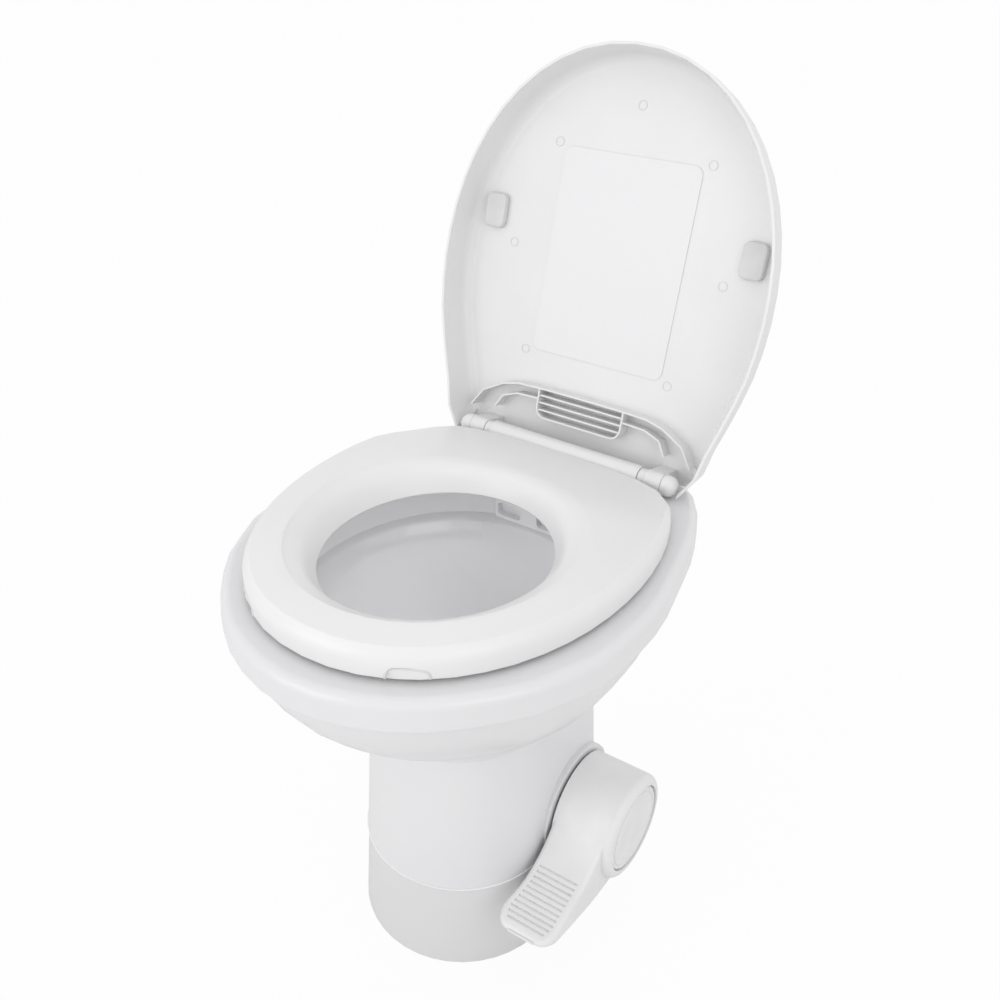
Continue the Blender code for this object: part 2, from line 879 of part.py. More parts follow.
# Flush chamber: rounded box above, round discharge pipe below
def build_valve_body():
    box = rounded_rectangle(-CHAMBER_HALF, CHAMBER_FRONT_Y, CHAMBER_HALF, CHAMBER_REAR_Y, CHAMBER_CORNER)
    outer = resample(box, SHELL_STEPS)
    inner = inset(outer, CHAMBER_WALL)
    pipe_outer = [(x, y + PIPE_Y) for x, y in circle(PIPE_RADIUS, SHELL_STEPS)]
    pipe_inner = [(x, y + PIPE_Y) for x, y in circle(PIPE_RADIUS - PIPE_WALL, SHELL_STEPS)]
    hole = [(x, y + PEDAL_Y) for x, y in circle(SEAL_RADIUS + FIT_GAP, SHELL_STEPS)]
    pipe_end = FLOOR_PLATE_Z + FIT_GAP
    rings = [
        level(pipe_inner, pipe_end),
        level(pipe_outer, pipe_end),
        level(pipe_outer, PIPE_Z),
        level(between(pipe_outer, outer, 0.5), (PIPE_Z + CHAMBER_LOW_Z) / 2),
        level(outer, CHAMBER_LOW_Z),
        level(outer, CHAMBER_TOP_Z),
        level(hole, CHAMBER_TOP_Z),
        level(hole, CHAMBER_TOP_Z - CHAMBER_PLATE),
        level(inner, CHAMBER_TOP_Z - CHAMBER_PLATE),
        level(inner, CHAMBER_LOW_Z),
        level(between(pipe_inner, inner, 0.5), (PIPE_Z + CHAMBER_LOW_Z) / 2),
        level(pipe_inner, PIPE_Z),
    ]
    body = loft("valve_body", rings, hidden_plastic("valve_body_grey"), True)
    place = (0.0, PEDAL_Y, PEDAL_Z)
    cut(body, rod("shaft_hole", bore(SHAFT_RADIUS), 0.0, CHAMBER_HALF * 2, "X", place))
    cut(body, rod("pin_hole", bore(PIN_RADIUS), -CHAMBER_HALF * 2, 0.0, "X", place))


def build_outlet_seal():
    def ball_height(radius):
        return math.sqrt(BALL_RADIUS ** 2 - radius ** 2) + PEDAL_Z + FIT_GAP

    top = CHAMBER_TOP_Z + FIT_GAP
    profile = [
        (OUTLET_RADIUS, ball_height(OUTLET_RADIUS)),
        (SEAL_RADIUS, ball_height(SEAL_RADIUS)),
        (SEAL_RADIUS, top),
        (SEAL_FLANGE, top),
        (SEAL_FLANGE, top + SEAL_FLANGE_THICK),
        (OUTLET_RADIUS, top + SEAL_FLANGE_THICK),
    ]
    turned("outlet_seal", profile, "Z", (0.0, PEDAL_Y, 0.0), rubber("seal_rubber"), closed=True)


# Spherical blade with an arm and a hub on each side
def build_flush_valve(pivot):
    centre = (0.0, PEDAL_Y, PEDAL_Z)
    edge = math.radians(BLADE_ANGLE_deg)
    inner = BALL_RADIUS - BLADE_THICK
    profile = [(0, BALL_RADIUS)]
    steps = 5
    for k in range(1, steps + 1):
        turn = edge * k / steps
        profile.append((BALL_RADIUS * math.sin(turn), BALL_RADIUS * math.cos(turn)))
    for k in range(steps, 0, -1):
        turn = edge * k / steps
        profile.append((inner * math.sin(turn), inner * math.cos(turn)))
    profile.append((0, inner))
    blade = turned("flush_valve", profile, "Z", centre, hidden_plastic("blade_plastic"), pivot=pivot)
    top = math.sqrt(inner ** 2 - BLADE_ARM_IN ** 2) + BLADE_THICK / 2
    for side, name in ((-1, "left"), (1, "right")):
        near, far = sorted((side * BLADE_ARM_IN, side * BLADE_ARM_OUT))
        arm_outline = [
            (-BLADE_ARM_HALF, 0.0),
            (BLADE_ARM_HALF, 0.0),
            (BLADE_ARM_HALF, top * 0.9),
            (BLADE_ARM_HALF / 2, top),
            (-BLADE_ARM_HALF / 2, top),
            (-BLADE_ARM_HALF, top * 0.9),
        ]
        rings = [[on_axis("X", centre, pair, x) for pair in arm_outline] for x in (near, far)]
        join(blade, loft("blade_arm_" + name, rings, None, pivot=pivot))
        low, high = sorted((side * BLADE_HUB_IN, side * BLADE_HUB_OUT))
        join(blade, rod("blade_hub_" + name, BLADE_HUB_RADIUS, low, high, "X", centre, pivot=pivot))
    bores = (
        ("right", SHAFT_RADIUS, SHAFT_IN_X - RUN_GAP, CHAMBER_HALF),
        ("left", PIN_RADIUS, -CHAMBER_HALF, -PIN_IN_X + RUN_GAP),
    )
    for name, radius, near, far in bores:
        cut(blade, rod("blade_bore_" + name, bore(radius), near, far, "X", centre, pivot=pivot))


def build_pivot_pin():
    head = CHAMBER_HALF + FIT_GAP
    profile = [
        (0, -head - BLADE_THICK),
        (PIN_HEAD_RADIUS, -head - BLADE_THICK),
        (PIN_HEAD_RADIUS, -head),
        (PIN_RADIUS, -head),
        (PIN_RADIUS, -PIN_IN_X - EDGE_ROUND),
        (PIN_RADIUS - EDGE_ROUND, -PIN_IN_X),
        (0, -PIN_IN_X),
    ]
    turned("pivot_pin", profile, "X", (0.0, PEDAL_Y, PEDAL_Z), steel("pivot_pin_steel"))


# Shaft with the crank that lifts the push rod
def build_pedal_shaft(pivot):
    place = (0.0, PEDAL_Y, PEDAL_Z)
    profile = [
        (0, SHAFT_IN_X),
        (SHAFT_RADIUS, SHAFT_IN_X),
        (SHAFT_RADIUS, SHAFT_OUT_X - EDGE_ROUND),
        (SHAFT_RADIUS - EDGE_ROUND, SHAFT_OUT_X),
        (0, SHAFT_OUT_X),
    ]
    shaft = turned("pedal_shaft", profile, "X", place, steel("shaft_steel"), pivot=pivot)
    collar = rod("crank_collar", SHAFT_RADIUS + CRANK_HALF, CRANK_IN_X, CRANK_OUT_X, "X", place, pivot=pivot)
    join(shaft, collar)
    low = (CRANK_IN_X, PEDAL_Y, PEDAL_Z - CRANK_HALF)
    high = (CRANK_OUT_X, PEDAL_Y + CRANK_REACH, PEDAL_Z + CRANK_HALF)
    join(shaft, block("crank_arm", low, high, pivot=pivot))
    nose = (0.0, PEDAL_Y + CRANK_REACH, PEDAL_Z - CRANK_NOSE + CRANK_HALF)
    join(shaft, rod("crank_nose", CRANK_NOSE, CRANK_IN_X, CRANK_OUT_X, "X", nose, pivot=pivot))
    cut(shaft, rod("screw_hole", bore(SCREW_RADIUS, SMALL_STEPS), SHAFT_OUT_X - SCREW_LENGTH,
                   SHAFT_OUT_X * 2, "X", place, steps=SMALL_STEPS, pivot=pivot))


# Torsion spring round the pedal hub
def build_return_spring():
    path = []
    total = SPRING_TURNS * SPRING_STEPS
    for k in range(total + 1):
        turn = 2 * math.pi * k / SPRING_STEPS
        along = SPRING_IN_X + (SPRING_OUT_X - SPRING_IN_X) * k / total
        path.append((
            along,
            PEDAL_Y + SPRING_RADIUS * math.cos(turn),
            PEDAL_Z + SPRING_RADIUS * math.sin(turn),
        ))
    first = path[0]
    leg = (BOSS_OUT_X + FIT_GAP, first[1], first[2])
    tube("return_spring", [leg] + path, SPRING_WIRE, 0, steel("spring_steel"), SPRING_SIDES)


def interpolate(line, y):
    for a, b in zip(line, line[1:]):
        if a[0] >= y >= b[0]:
            return a[1] + (b[1] - a[1]) * (a[0] - y) / (a[0] - b[0])
    return line[0][1] if y > line[0][0] else line[-1][1]


# Sides of the foot plate at one place along it
def plate_sides(y):
    reach = y - PLATE_TIP_Y
    left, right = interpolate(PLATE_IN_LINE, y), PLATE_OUT_X
    if reach < PLATE_LEFT_CORNER:
        left += PLATE_LEFT_CORNER - math.sqrt(PLATE_LEFT_CORNER ** 2 - (PLATE_LEFT_CORNER - reach) ** 2)
    if reach < PLATE_RIGHT_CORNER:
        right -= PLATE_RIGHT_CORNER - math.sqrt(PLATE_RIGHT_CORNER ** 2 - (PLATE_RIGHT_CORNER - reach) ** 2)
    return left, right


def build_pedal(pivot):
    place = (0.0, PEDAL_Y, PEDAL_Z)
    paint = white_plastic("pedal_white")
    inner = DRUM_RADIUS - DRUM_WALL
    rim = []
    for k in range(7):
        turn = math.radians(90 * k / 6)
        rim.append((
            DRUM_RADIUS - DRUM_ROUND + DRUM_ROUND * math.cos(turn),
            DRUM_OUT_X - DRUM_ROUND + DRUM_ROUND * math.sin(turn),
        ))
    profile = [(0, DRUM_IN_X), (DRUM_RADIUS, DRUM_IN_X)] + rim + [
        (0, DRUM_OUT_X),
    ]
    pedal = turned("pedal", profile, "X", place, paint, DRUM_STEPS, pivot=pivot)
    span = PLATE_START_Y - PLATE_TIP_Y
    stations = [PLATE_START_Y - span * share for share in PLATE_station_shares]
    rings = []
    for y in stations:
        low, high = interpolate(ARM_BOTTOM_LINE, y), interpolate(ARM_TOP_LINE, y)
        left, right = plate_sides(y)
        near = y - PLATE_TIP_Y
        pinch = 0.0
        if near < PLATE_EDGE_ROUND:
            pinch = PLATE_EDGE_ROUND - math.sqrt(PLATE_EDGE_ROUND ** 2 - (PLATE_EDGE_ROUND - near) ** 2)
        low, high = low + pinch, high - pinch
        radius = min(PLATE_EDGE_ROUND, (high - low) / 2 - RUN_GAP, (right - left) / 2 - RUN_GAP)
        outline = rounded_rectangle(left, low, right, high, radius, 4)
        rings.append([(x, y, z) for x, z in outline])
    arm = loft("pedal_arm", rings, None, pivot=pivot)
    join(pedal, arm)
    far = DRUM_FACE_X - DRUM_WALL
    hollow = [(HUB_RADIUS, BOSS_IN_X), (inner, BOSS_IN_X), (inner, far), (HUB_RADIUS, far)]
    cut(pedal, turned("drum_hollow", hollow, "X", place, None, ROUND_STEPS, True, pivot))
    cut(pedal, rod("cap_recess", CAP_RADIUS + FIT_GAP * 2, DRUM_FACE_X, DRUM_OUT_X * 2, "X", place,
                   steps=DRUM_STEPS, pivot=pivot))
    cut(pedal, rod("drum_bore", bore(SHAFT_RADIUS), BOSS_IN_X, DRUM_OUT_X, "X", place, pivot=pivot))
    for k in range(GROOVE_COUNT):
        y = GROOVE_FIRST_Y + GROOVE_STEP * k
        left, right = plate_sides(y - GROOVE_WIDTH)
        top = interpolate(ARM_TOP_LINE, y)
        low = (left + GROOVE_SIDE, y - GROOVE_WIDTH / 2, top - GROOVE_DEPTH)
        high = (right - GROOVE_SIDE, y + GROOVE_WIDTH / 2, top + GROOVE_DEPTH * 3)
        cut(pedal, block("groove_%02d" % (k + 1), low, high, pivot=pivot))


def build_pedal_cap(pivot):
    place = (0.0, PEDAL_Y, PEDAL_Z)
    low = DRUM_FACE_X + FIT_GAP
    wall = DRUM_WALL / 2
    profile = [
        (0, CAP_OUT_X),
        (CAP_RADIUS - CAP_EDGE, CAP_OUT_X),
        (CAP_RADIUS, CAP_OUT_X - CAP_EDGE),
        (CAP_RADIUS, low),
        (CAP_RADIUS - wall, low),
        (CAP_RADIUS - wall, CAP_OUT_X - wall),
        (0, CAP_OUT_X - wall),
    ]
    cap = turned("pedal_cap", profile, "X", place, white_plastic("pedal_cap_white"), pivot=pivot)
    for side, name in ((-1, "low"), (1, "high")):
        z = PEDAL_Z + side * CAP_RADIUS
        low_corner = (CAP_OUT_X - wall / 2, PEDAL_Y - NOTCH_HALF, z - NOTCH_DEPTH)
        high_corner = (CAP_OUT_X + wall, PEDAL_Y + NOTCH_HALF, z + NOTCH_DEPTH)
        cut(cap, block("cap_notch_" + name, low_corner, high_corner, pivot=pivot))


def build_pedal_screw(pivot):
    head = DRUM_FACE_X + FIT_GAP
    profile = [
        (0, SHAFT_OUT_X - SCREW_LENGTH + FIT_GAP),
        (SCREW_RADIUS, SHAFT_OUT_X - SCREW_LENGTH + FIT_GAP),
        (SCREW_RADIUS, head),
        (SCREW_HEAD_RADIUS, head),
        (SCREW_HEAD_RADIUS, head + SCREW_HEAD_THICK - EDGE_ROUND),
        (SCREW_HEAD_RADIUS - EDGE_ROUND, head + SCREW_HEAD_THICK),
        (0, head + SCREW_HEAD_THICK),
    ]
    place = (0.0, PEDAL_Y, PEDAL_Z)
    screw = turned("pedal_screw", profile, "X", place, steel("screw_steel"), SMALL_STEPS, pivot=pivot)
    top = head + SCREW_HEAD_THICK
    for name, wide, tall in (("a", SCREW_RADIUS * 2, EDGE_ROUND), ("b", EDGE_ROUND, SCREW_RADIUS * 2)):
        low = (top - SCREW_HEAD_THICK / 2, PEDAL_Y - wide, PEDAL_Z - tall)
        high = (top + SCREW_HEAD_THICK, PEDAL_Y + wide, PEDAL_Z + tall)
        cut(screw, block("screw_slot_" + name, low, high, pivot=pivot))


def rim_outline():
    return resample(spline(mirrored(RIM_HALF)), SHELL_STEPS)


def rim_opening(grow=0.0):
    return ellipse(RIM_OPENING_HALF + grow, RIM_OPENING_LONG + grow, RIM_OPENING_Y)


# Rim band, deck and inner lip
def build_rim_cover():
    edge = rim_outline()
    hole = rim_opening()
    under = rim_opening(BOWL_WALL)
    top = RIM_TOP_Z
    wall = RIM_WALL
    rings = [
        level(inset(edge, wall), RIM_LOW_Z),
        level(inset(edge, EDGE_ROUND), RIM_LOW_Z),
        level(edge, RIM_LOW_Z + EDGE_ROUND * 2),
    ]
    for k in range(5):
        turn = math.radians(90 * k / 4)
        step = RIM_ROUND * (1 - math.cos(turn))
        rings.append(level(inset(edge, step), top - RIM_ROUND + RIM_ROUND * math.sin(turn)))
    rings += [
        level(between(inset(edge, RIM_ROUND), inset(hole, -EDGE_ROUND * 3), 0.5), top),
        level(inset(hole, -EDGE_ROUND * 3), top),
        level(hole, top - EDGE_ROUND * 3),
        level(hole, RIM_LIP_Z),
        level(under, RIM_LIP_Z),
        level(under, top - wall),
        level(inset(edge, RIM_ROUND + wall / 2), top - wall),
        level(inset(edge, wall + RIM_ROUND / 3), top - RIM_ROUND * 0.7),
        level(inset(edge, wall), top - RIM_ROUND * 1.3),
    ]
    cover = loft("rim_cover", rings, white_plastic("rim_white"), True)
    for side, name in ((-1, "left"), (1, "right")):
        x = side * (POST_IN_X + POST_OUT_X) / 2
        radius = POST_STEM_RADIUS + FIT_GAP
        place = (x, HINGE_Y, top)
        hole_tool = rod("post_hole_" + name, radius, -wall * 2, wall, "Z", place, steps=SMALL_STEPS)
        cut(cover, hole_tool)


def liner_rings(grow, lowest):
    rings = []
    for z, half, long, y in LINER_PROFILE:
        rings.append(level(ellipse(half + grow, long + grow, y), z))
    half, long, y = LINER_PROFILE[-1][1:]
    rings[-1] = level(ellipse(half + grow, long + grow, y), lowest)
    return rings


# Inner bowl with ledge and funnel
def build_bowl_liner():
    lowest = CHAMBER_TOP_Z + SEAL_FLANGE_THICK + FIT_GAP * 2
    flange = LINER_FLANGE_Z
    inner = liner_rings(0.0, lowest)
    outer = liner_rings(BOWL_WALL, lowest)
    half, long, y = LINER_PROFILE[0][1:]
    edge = LINER_FLANGE_WIDTH
    rings = list(reversed(inner))
    rings.append(level(ellipse(half, long, y), flange))
    rings.append(level(ellipse(half + edge, long + edge, y), flange))
    rings.append(level(ellipse(half + edge, long + edge, y), flange - BOWL_WALL))
    rings.append(level(ellipse(half + BOWL_WALL, long + BOWL_WALL, y), flange - BOWL_WALL))
    rings += outer[1:]
    liner = loft("bowl_liner", rings, bowl_plastic("bowl_liner_white"), True)
    opening = inset(spout_outline(), -FIT_GAP)
    tool = [[(x, y, z) for x, z in opening] for y in (SPOUT_FRONT_Y - SPOUT_RECESS_DEPTH, SPOUT_PIPE_REAR_Y)]
    cut(liner, loft("spout_opening", tool, None))


def spout_outline():
    return rounded_rectangle(-SPOUT_HALF, SPOUT_LOW_Z, SPOUT_HALF, SPOUT_TOP_Z, SPOUT_ROUND, 4)


def bowl_outline(out_share, inside):
    top = inset(rim_outline(), BOWL_TOP_INSET + inside)
    low = pedestal_outline(PEDESTAL_TOP_Z, inside - BOWL_BASE_OUT)
    return between(low, top, out_share)


# Outer bowl shell from the pedestal to the rim band
def build_bowl_skirt():
    span = BOWL_TOP_Z - BOWL_BASE_Z
    steps = list(zip(BOWL_out_shares, BOWL_up_shares))
    outer = [level(bowl_outline(out, 0.0), BOWL_BASE_Z + span * up) for out, up in steps]
    inner = []
    for out, up in reversed(steps):
        lift = BOWL_WALL * (1 - out) if up > 0 else 0.0
        inner.append(level(bowl_outline(out, BOWL_WALL), BOWL_BASE_Z + span * up + lift * (1 - up)))
    loft("bowl_skirt", outer + inner, white_plastic("bowl_skirt_white"), True)


# Rinse nozzle in the rear of the bowl
def build_rinse_spout():
    outline = spout_outline()
    rings = [
        [(x, SPOUT_REAR_Y, z) for x, z in outline],
        [(x, SPOUT_FRONT_Y + EDGE_ROUND * 2, z) for x, z in outline],
        [(x, SPOUT_FRONT_Y, z) for x, z in inset(outline, EDGE_ROUND * 2)],
    ]
    spout = loft("rinse_spout", rings, bowl_plastic("spout_white"))
    for side, name in ((-1, "left"), (1, "right")):
        x = side * SPOUT_RECESS_X
        recess = rounded_rectangle(
            x - SPOUT_RECESS_HALF,
            SPOUT_RECESS_LOW_Z,
            x + SPOUT_RECESS_HALF,
            SPOUT_RECESS_TOP_Z,
            EDGE_ROUND * 6,
            4,
        )
        tool = loft("spout_recess_" + name, [
            [(px, SPOUT_FRONT_Y - EDGE_ROUND, pz) for px, pz in recess],
            [(px, SPOUT_FRONT_Y + SPOUT_RECESS_DEPTH, pz) for px, pz in recess],
        ], None)
        cut(spout, tool)
    pipe = rod("spout_pipe", SPOUT_HOLE, SPOUT_REAR_Y - EDGE_ROUND, SPOUT_PIPE_REAR_Y, "Y",
               (0.0, 0.0, SPOUT_PIPE_Z), steps=SMALL_STEPS)
    join(spout, pipe)
    near = SPOUT_PIPE_REAR_Y - EDGE_ROUND
    barb = rod("spout_barb", NIPPLE_RADIUS, near, SPOUT_PIPE_REAR_Y + NIPPLE_LENGTH, "Y",
               (0.0, 0.0, SPOUT_PIPE_Z), steps=SMALL_STEPS)
    join(spout, barb)


# Fill valve with its inlet arm led out through the rear wall
def build_water_valve():
    place = (VALVE_X, VALVE_Y, 0.0)
    profile = [
        (0, VALVE_LOW_Z),
        (VALVE_RADIUS, VALVE_LOW_Z),
        (VALVE_RADIUS, VALVE_TOP_Z),
        (NIPPLE_RADIUS, VALVE_TOP_Z),
        (NIPPLE_RADIUS, VALVE_TOP_Z + NIPPLE_LENGTH),
        (0, VALVE_TOP_Z + NIPPLE_LENGTH),
    ]
    paint = dark_plastic("water_valve_black")
    valve = turned("water_valve", profile, "Z", place, paint, SMALL_STEPS)
    path = bend([
        (VALVE_X, VALVE_Y, ARM_Z),
        (VALVE_X, ARM_Y - ARM_RADIUS * 2, ARM_Z),
        (VALVE_X - ARM_RADIUS, ARM_Y - ARM_RADIUS / 2, ARM_Z),
        (VALVE_X - ARM_RADIUS * 2, ARM_Y, ARM_Z),
        (INLET_X + ARM_RADIUS * 2, ARM_Y, ARM_Z),
        (INLET_X + ARM_RADIUS / 2, ARM_Y + ARM_RADIUS / 2, ARM_Z),
        (INLET_X, ARM_Y + ARM_RADIUS * 2, ARM_Z),
        (INLET_X, INLET_OUT_Y, ARM_Z),
    ], 2)
    join(valve, tube("inlet_arm", path, ARM_RADIUS, 0, None, SMALL_STEPS))
    cut(valve, rod("inlet_bore", INLET_BORE, ARM_Y + ARM_RADIUS * 2, INLET_OUT_Y * 2, "Y",
                   (INLET_X, 0.0, ARM_Z), steps=SMALL_STEPS))
    cut(valve, rod("rod_bore", bore(ROD_RADIUS, SMALL_STEPS), 0.0,
                   VALVE_LOW_Z + ROD_IN_VALVE + ROD_TRAVEL + FIT_GAP, "Z", place, steps=SMALL_STEPS))
    cut(valve, rod("outlet_bore", INLET_BORE / 2, VALVE_TOP_Z - ROD_IN_VALVE, VALVE_TOP_Z * 2, "Z",
                   place, steps=SMALL_STEPS))


def build_push_rod():
    low = PEDAL_Z + CRANK_HALF + FIT_GAP
    high = VALVE_LOW_Z + ROD_IN_VALVE
    profile = [
        (0, low),
        (ROD_RADIUS - EDGE_ROUND, low),
        (ROD_RADIUS, low + EDGE_ROUND),
        (ROD_RADIUS, high - EDGE_ROUND),
        (ROD_RADIUS - EDGE_ROUND, high),
        (0, high),
    ]
    turned("push_rod", profile, "Z", (VALVE_X, VALVE_Y, 0.0), steel("push_rod_steel"), SMALL_STEPS)


def build_inlet_nut():
    paint = dark_plastic("inlet_nut_black")
    place = (INLET_X, 0.0, ARM_Z)
    hex_nut(
        "inlet_nut",
        INLET_NUT_RADIUS,
        INLET_NUT_RADIUS * 0.86,
        INLET_NUT_IN_Y,
        INLET_NUT_IN_Y + WASHER_THICK,
        INLET_NUT_OUT_Y,
        bore(ARM_RADIUS, SMALL_STEPS) + FIT_GAP,
        "Y",
        place,
        paint,
    )


# Vacuum breaker housing, open at the top, with a nipple below and one to the front
def build_breaker_body():
    place = (0.0, BREAKER_Y, 0.0)
    inner = BREAKER_RADIUS - BREAKER_WALL
    low = BREAKER_LOW_Z
    profile = [
        (NIPPLE_RADIUS / 2, low - NIPPLE_LENGTH),
        (NIPPLE_RADIUS, low - NIPPLE_LENGTH),
        (NIPPLE_RADIUS, low),
        (BREAKER_RADIUS, low),
        (BREAKER_RADIUS, BREAKER_TOP_Z),
        (BREAKER_LIP, BREAKER_TOP_Z),
        (BREAKER_LIP, BREAKER_TOP_Z - BREAKER_WALL),
        (inner, BREAKER_TOP_Z - BREAKER_WALL),
        (inner, low + BREAKER_WALL),
        (NIPPLE_RADIUS / 2, low + BREAKER_WALL),
    ]
    paint = dark_plastic("breaker_black")
    body = turned("breaker_body", profile, "Z", place, paint, SMALL_STEPS, True)
    height = (BREAKER_LOW_Z + BREAKER_TOP_Z) / 2
    near = -BREAKER_RADIUS - NIPPLE_LENGTH
    spout = rod("breaker_nipple", NIPPLE_RADIUS, near, -BREAKER_RADIUS + BREAKER_WALL / 2,
                "Y", (0.0, BREAKER_Y, height), steps=SMALL_STEPS)
    join(body, spout)
    cut(body, rod("breaker_outlet", NIPPLE_RADIUS / 2, -BREAKER_RADIUS * 2, -BREAKER_LIP, "Y",
                  (0.0, BREAKER_Y, height), steps=SMALL_STEPS))


def build_breaker_poppet():
    low = BREAKER_LOW_Z + BREAKER_WALL + POPPET_SEAT_GAP
    profile = [
        (0, low),
        (POPPET_RADIUS, low),
        (POPPET_RADIUS, low + POPPET_THICK),
        (POPPET_STEM, low + POPPET_THICK),
        (POPPET_STEM, low + POPPET_LENGTH),
        (0, low + POPPET_LENGTH),
    ]
    place = (0.0, BREAKER_Y, 0.0)
    turned("breaker_poppet", profile, "Z", place, hidden_plastic("poppet_plastic"), SMALL_STEPS)


def build_tubes():
    start = (VALVE_X, VALVE_Y, VALVE_TOP_Z + FIT_GAP)
    end = (0.0, BREAKER_Y, BREAKER_LOW_Z - FIT_GAP)
    supply = bend([
        start,
        (VALVE_X, VALVE_Y, VALVE_TOP_Z + NIPPLE_LENGTH),
        (VALVE_X, VALVE_Y, VALVE_TOP_Z + NIPPLE_LENGTH + TUBE_STRAIGHT),
        (VALVE_X * 0.95, VALVE_Y * 1.25, (VALVE_TOP_Z + BOWL_BASE_Z) / 2),
        (VALVE_X * 0.45, ARM_Y, BOWL_BASE_Z + NIPPLE_LENGTH),
        (VALVE_X * 0.08, (ARM_Y + BREAKER_Y) / 2, (BOWL_BASE_Z + BREAKER_LOW_Z) / 2),
        (0.0, BREAKER_Y, BREAKER_LOW_Z - NIPPLE_LENGTH - TUBE_STRAIGHT),
        (0.0, BREAKER_Y, BREAKER_LOW_Z - NIPPLE_LENGTH),
        end,
    ])
    tube("supply_tube", supply, TUBE_RADIUS, TUBE_BORE, rubber("supply_tube_rubber"))
    height = (BREAKER_LOW_Z + BREAKER_TOP_Z) / 2
    reach = NIPPLE_LENGTH + TUBE_STRAIGHT
    rinse = bend([
        (0.0, BREAKER_Y - BREAKER_RADIUS - FIT_GAP, height),
        (0.0, BREAKER_Y - BREAKER_RADIUS - NIPPLE_LENGTH, height),
        (0.0, BREAKER_Y - BREAKER_RADIUS - reach, height),
        (0.0, SPOUT_PIPE_REAR_Y + reach, SPOUT_PIPE_Z),
        (0.0, SPOUT_PIPE_REAR_Y + NIPPLE_LENGTH, SPOUT_PIPE_Z),
        (0.0, SPOUT_PIPE_REAR_Y + FIT_GAP, SPOUT_PIPE_Z),
    ])
    tube("rinse_tube", rinse, TUBE_RADIUS, TUBE_BORE, rubber("rinse_tube_rubber"))


def build_hinge_side(side, name, lid_pivot):
    deck = RIM_TOP_Z + FIT_GAP
    middle = side * (POST_IN_X + POST_OUT_X) / 2
    near, far = sorted((side * POST_IN_X, side * POST_OUT_X))
    outline = [(HINGE_Y - POST_HALF, deck), (HINGE_Y + POST_HALF, deck)]
    for k in range(13):
        turn = math.radians(180 * k / 12)
        outline.append((HINGE_Y + POST_HALF * math.cos(turn), HINGE_Z + POST_HALF * math.sin(turn)))
    rings = [[(x, y, z) for y, z in outline] for x in (near, far)]
    post = loft("hinge_post_" + name, rings, white_plastic("hinge_post_white_" + name))
    stem = rod("post_stem_" + name, POST_STEM_RADIUS, POST_STEM_LOW_Z, deck + EDGE_ROUND, "Z",
               (middle, HINGE_Y, 0.0), steps=SMALL_STEPS)
    join(post, stem)
    place = (0.0, HINGE_Y, HINGE_Z)
    near, far = sorted((side * HINGE_PIN_IN_X, side * HINGE_PIN_OUT_X * 2))
    radius = bore(HINGE_PIN_RADIUS, SMALL_STEPS)
    cut(post, rod("post_bore_" + name, radius, near, far, "X", place, steps=SMALL_STEPS))
    near, far = sorted((side * HINGE_PIN_IN_X, side * HINGE_PIN_OUT_X))
    paint = steel("hinge_pin_steel_" + name)
    rod("hinge_pin_" + name, HINGE_PIN_RADIUS, near, far, "X", place, paint, SMALL_STEPS)
    profile = [(0, KNUCKLE_OUT_X + FIT_GAP), (KNUCKLE_RADIUS, KNUCKLE_OUT_X + FIT_GAP)]
    start = CAP_END_X - CAP_BALL
    for k in range(6):
        turn = math.radians(90 * k / 6)
        profile.append((KNUCKLE_RADIUS * math.cos(turn), start + CAP_BALL * math.sin(turn)))
    profile.append((0, CAP_END_X))
    profile = [(radius, side * along) for radius, along in profile]
    paint = white_plastic("hinge_cap_white_" + name)
    turned("hinge_cap_" + name, profile, "X", place, paint, SMALL_STEPS, pivot=lid_pivot)
    top = RIM_TOP_Z - RIM_WALL - FIT_GAP
    low = top - HINGE_NUT_THICK
    inner = bore(POST_STEM_RADIUS, SMALL_STEPS)
    profile = [(inner, low), (HINGE_NUT_RADIUS, low), (HINGE_NUT_RADIUS, top), (inner, top)]
    nut = turned("hinge_nut_" + name, profile, "Z", (middle, HINGE_Y, 0.0),
                 soft_white("hinge_nut_plastic_" + name), SMALL_STEPS, True)
    for index, way in enumerate((-1, 1)):
        near, far = sorted((way * (HINGE_NUT_RADIUS - WING_HALF), way * (HINGE_NUT_RADIUS + WING_REACH / 2)))
        low_corner = (middle - WING_HALF, HINGE_Y + near, low - WING_DROP)
        high_corner = (middle + WING_HALF, HINGE_Y + far, top - WING_HALF)
        join(nut, block("wing_%s_%d" % (name, index + 1), low_corner, high_corner))


# The seat top falls towards the hinge
def seat_drop(ring):
    made = []
    for x, y, z in ring:
        share = min(max((y - SEAT_DROP_START_Y) / (SEAT_DROP_END_Y - SEAT_DROP_START_Y), 0.0), 1.0)
        height = (z - SEAT_LOW_Z) / (SEAT_CREST_Z - SEAT_LOW_Z)
        made.append((x, y, z - SEAT_DROP * height * share * share * (3 - 2 * share)))
    return made


# Front curve that the seat and the lid share
def front_curve(half, long, count):
    points = []
    for k in range(count + 1):
        turn = math.radians(90 * k / count)
        x = half * math.sin(turn) ** (2 / SEAT_FRONT_power)
        y = SEAT_MID_Y - long * max(math.cos(turn), 0.0) ** (2 / SEAT_FRONT_power)
        points.append((x, y))
    return points


def seat_outline():
    points = front_curve(SEAT_HALF, SEAT_FRONT_LONG, 60)
    for k in range(1, 81):
        reach = SEAT_REAR_CORNER * math.sin(math.radians(90 * k / 80))
        corner = 1 - (reach / SEAT_REAR_CORNER) ** SEAT_CORNER_power
        body = 1 - (reach / SEAT_REAR_LONG) ** 2
        points.append((SEAT_HALF * math.sqrt(body) * math.sqrt(max(corner, 0.0)), SEAT_MID_Y + reach))
    points[-1] = (0.0, SEAT_MID_Y + SEAT_REAR_CORNER)
    return resample(mirrored(points), SHELL_STEPS)


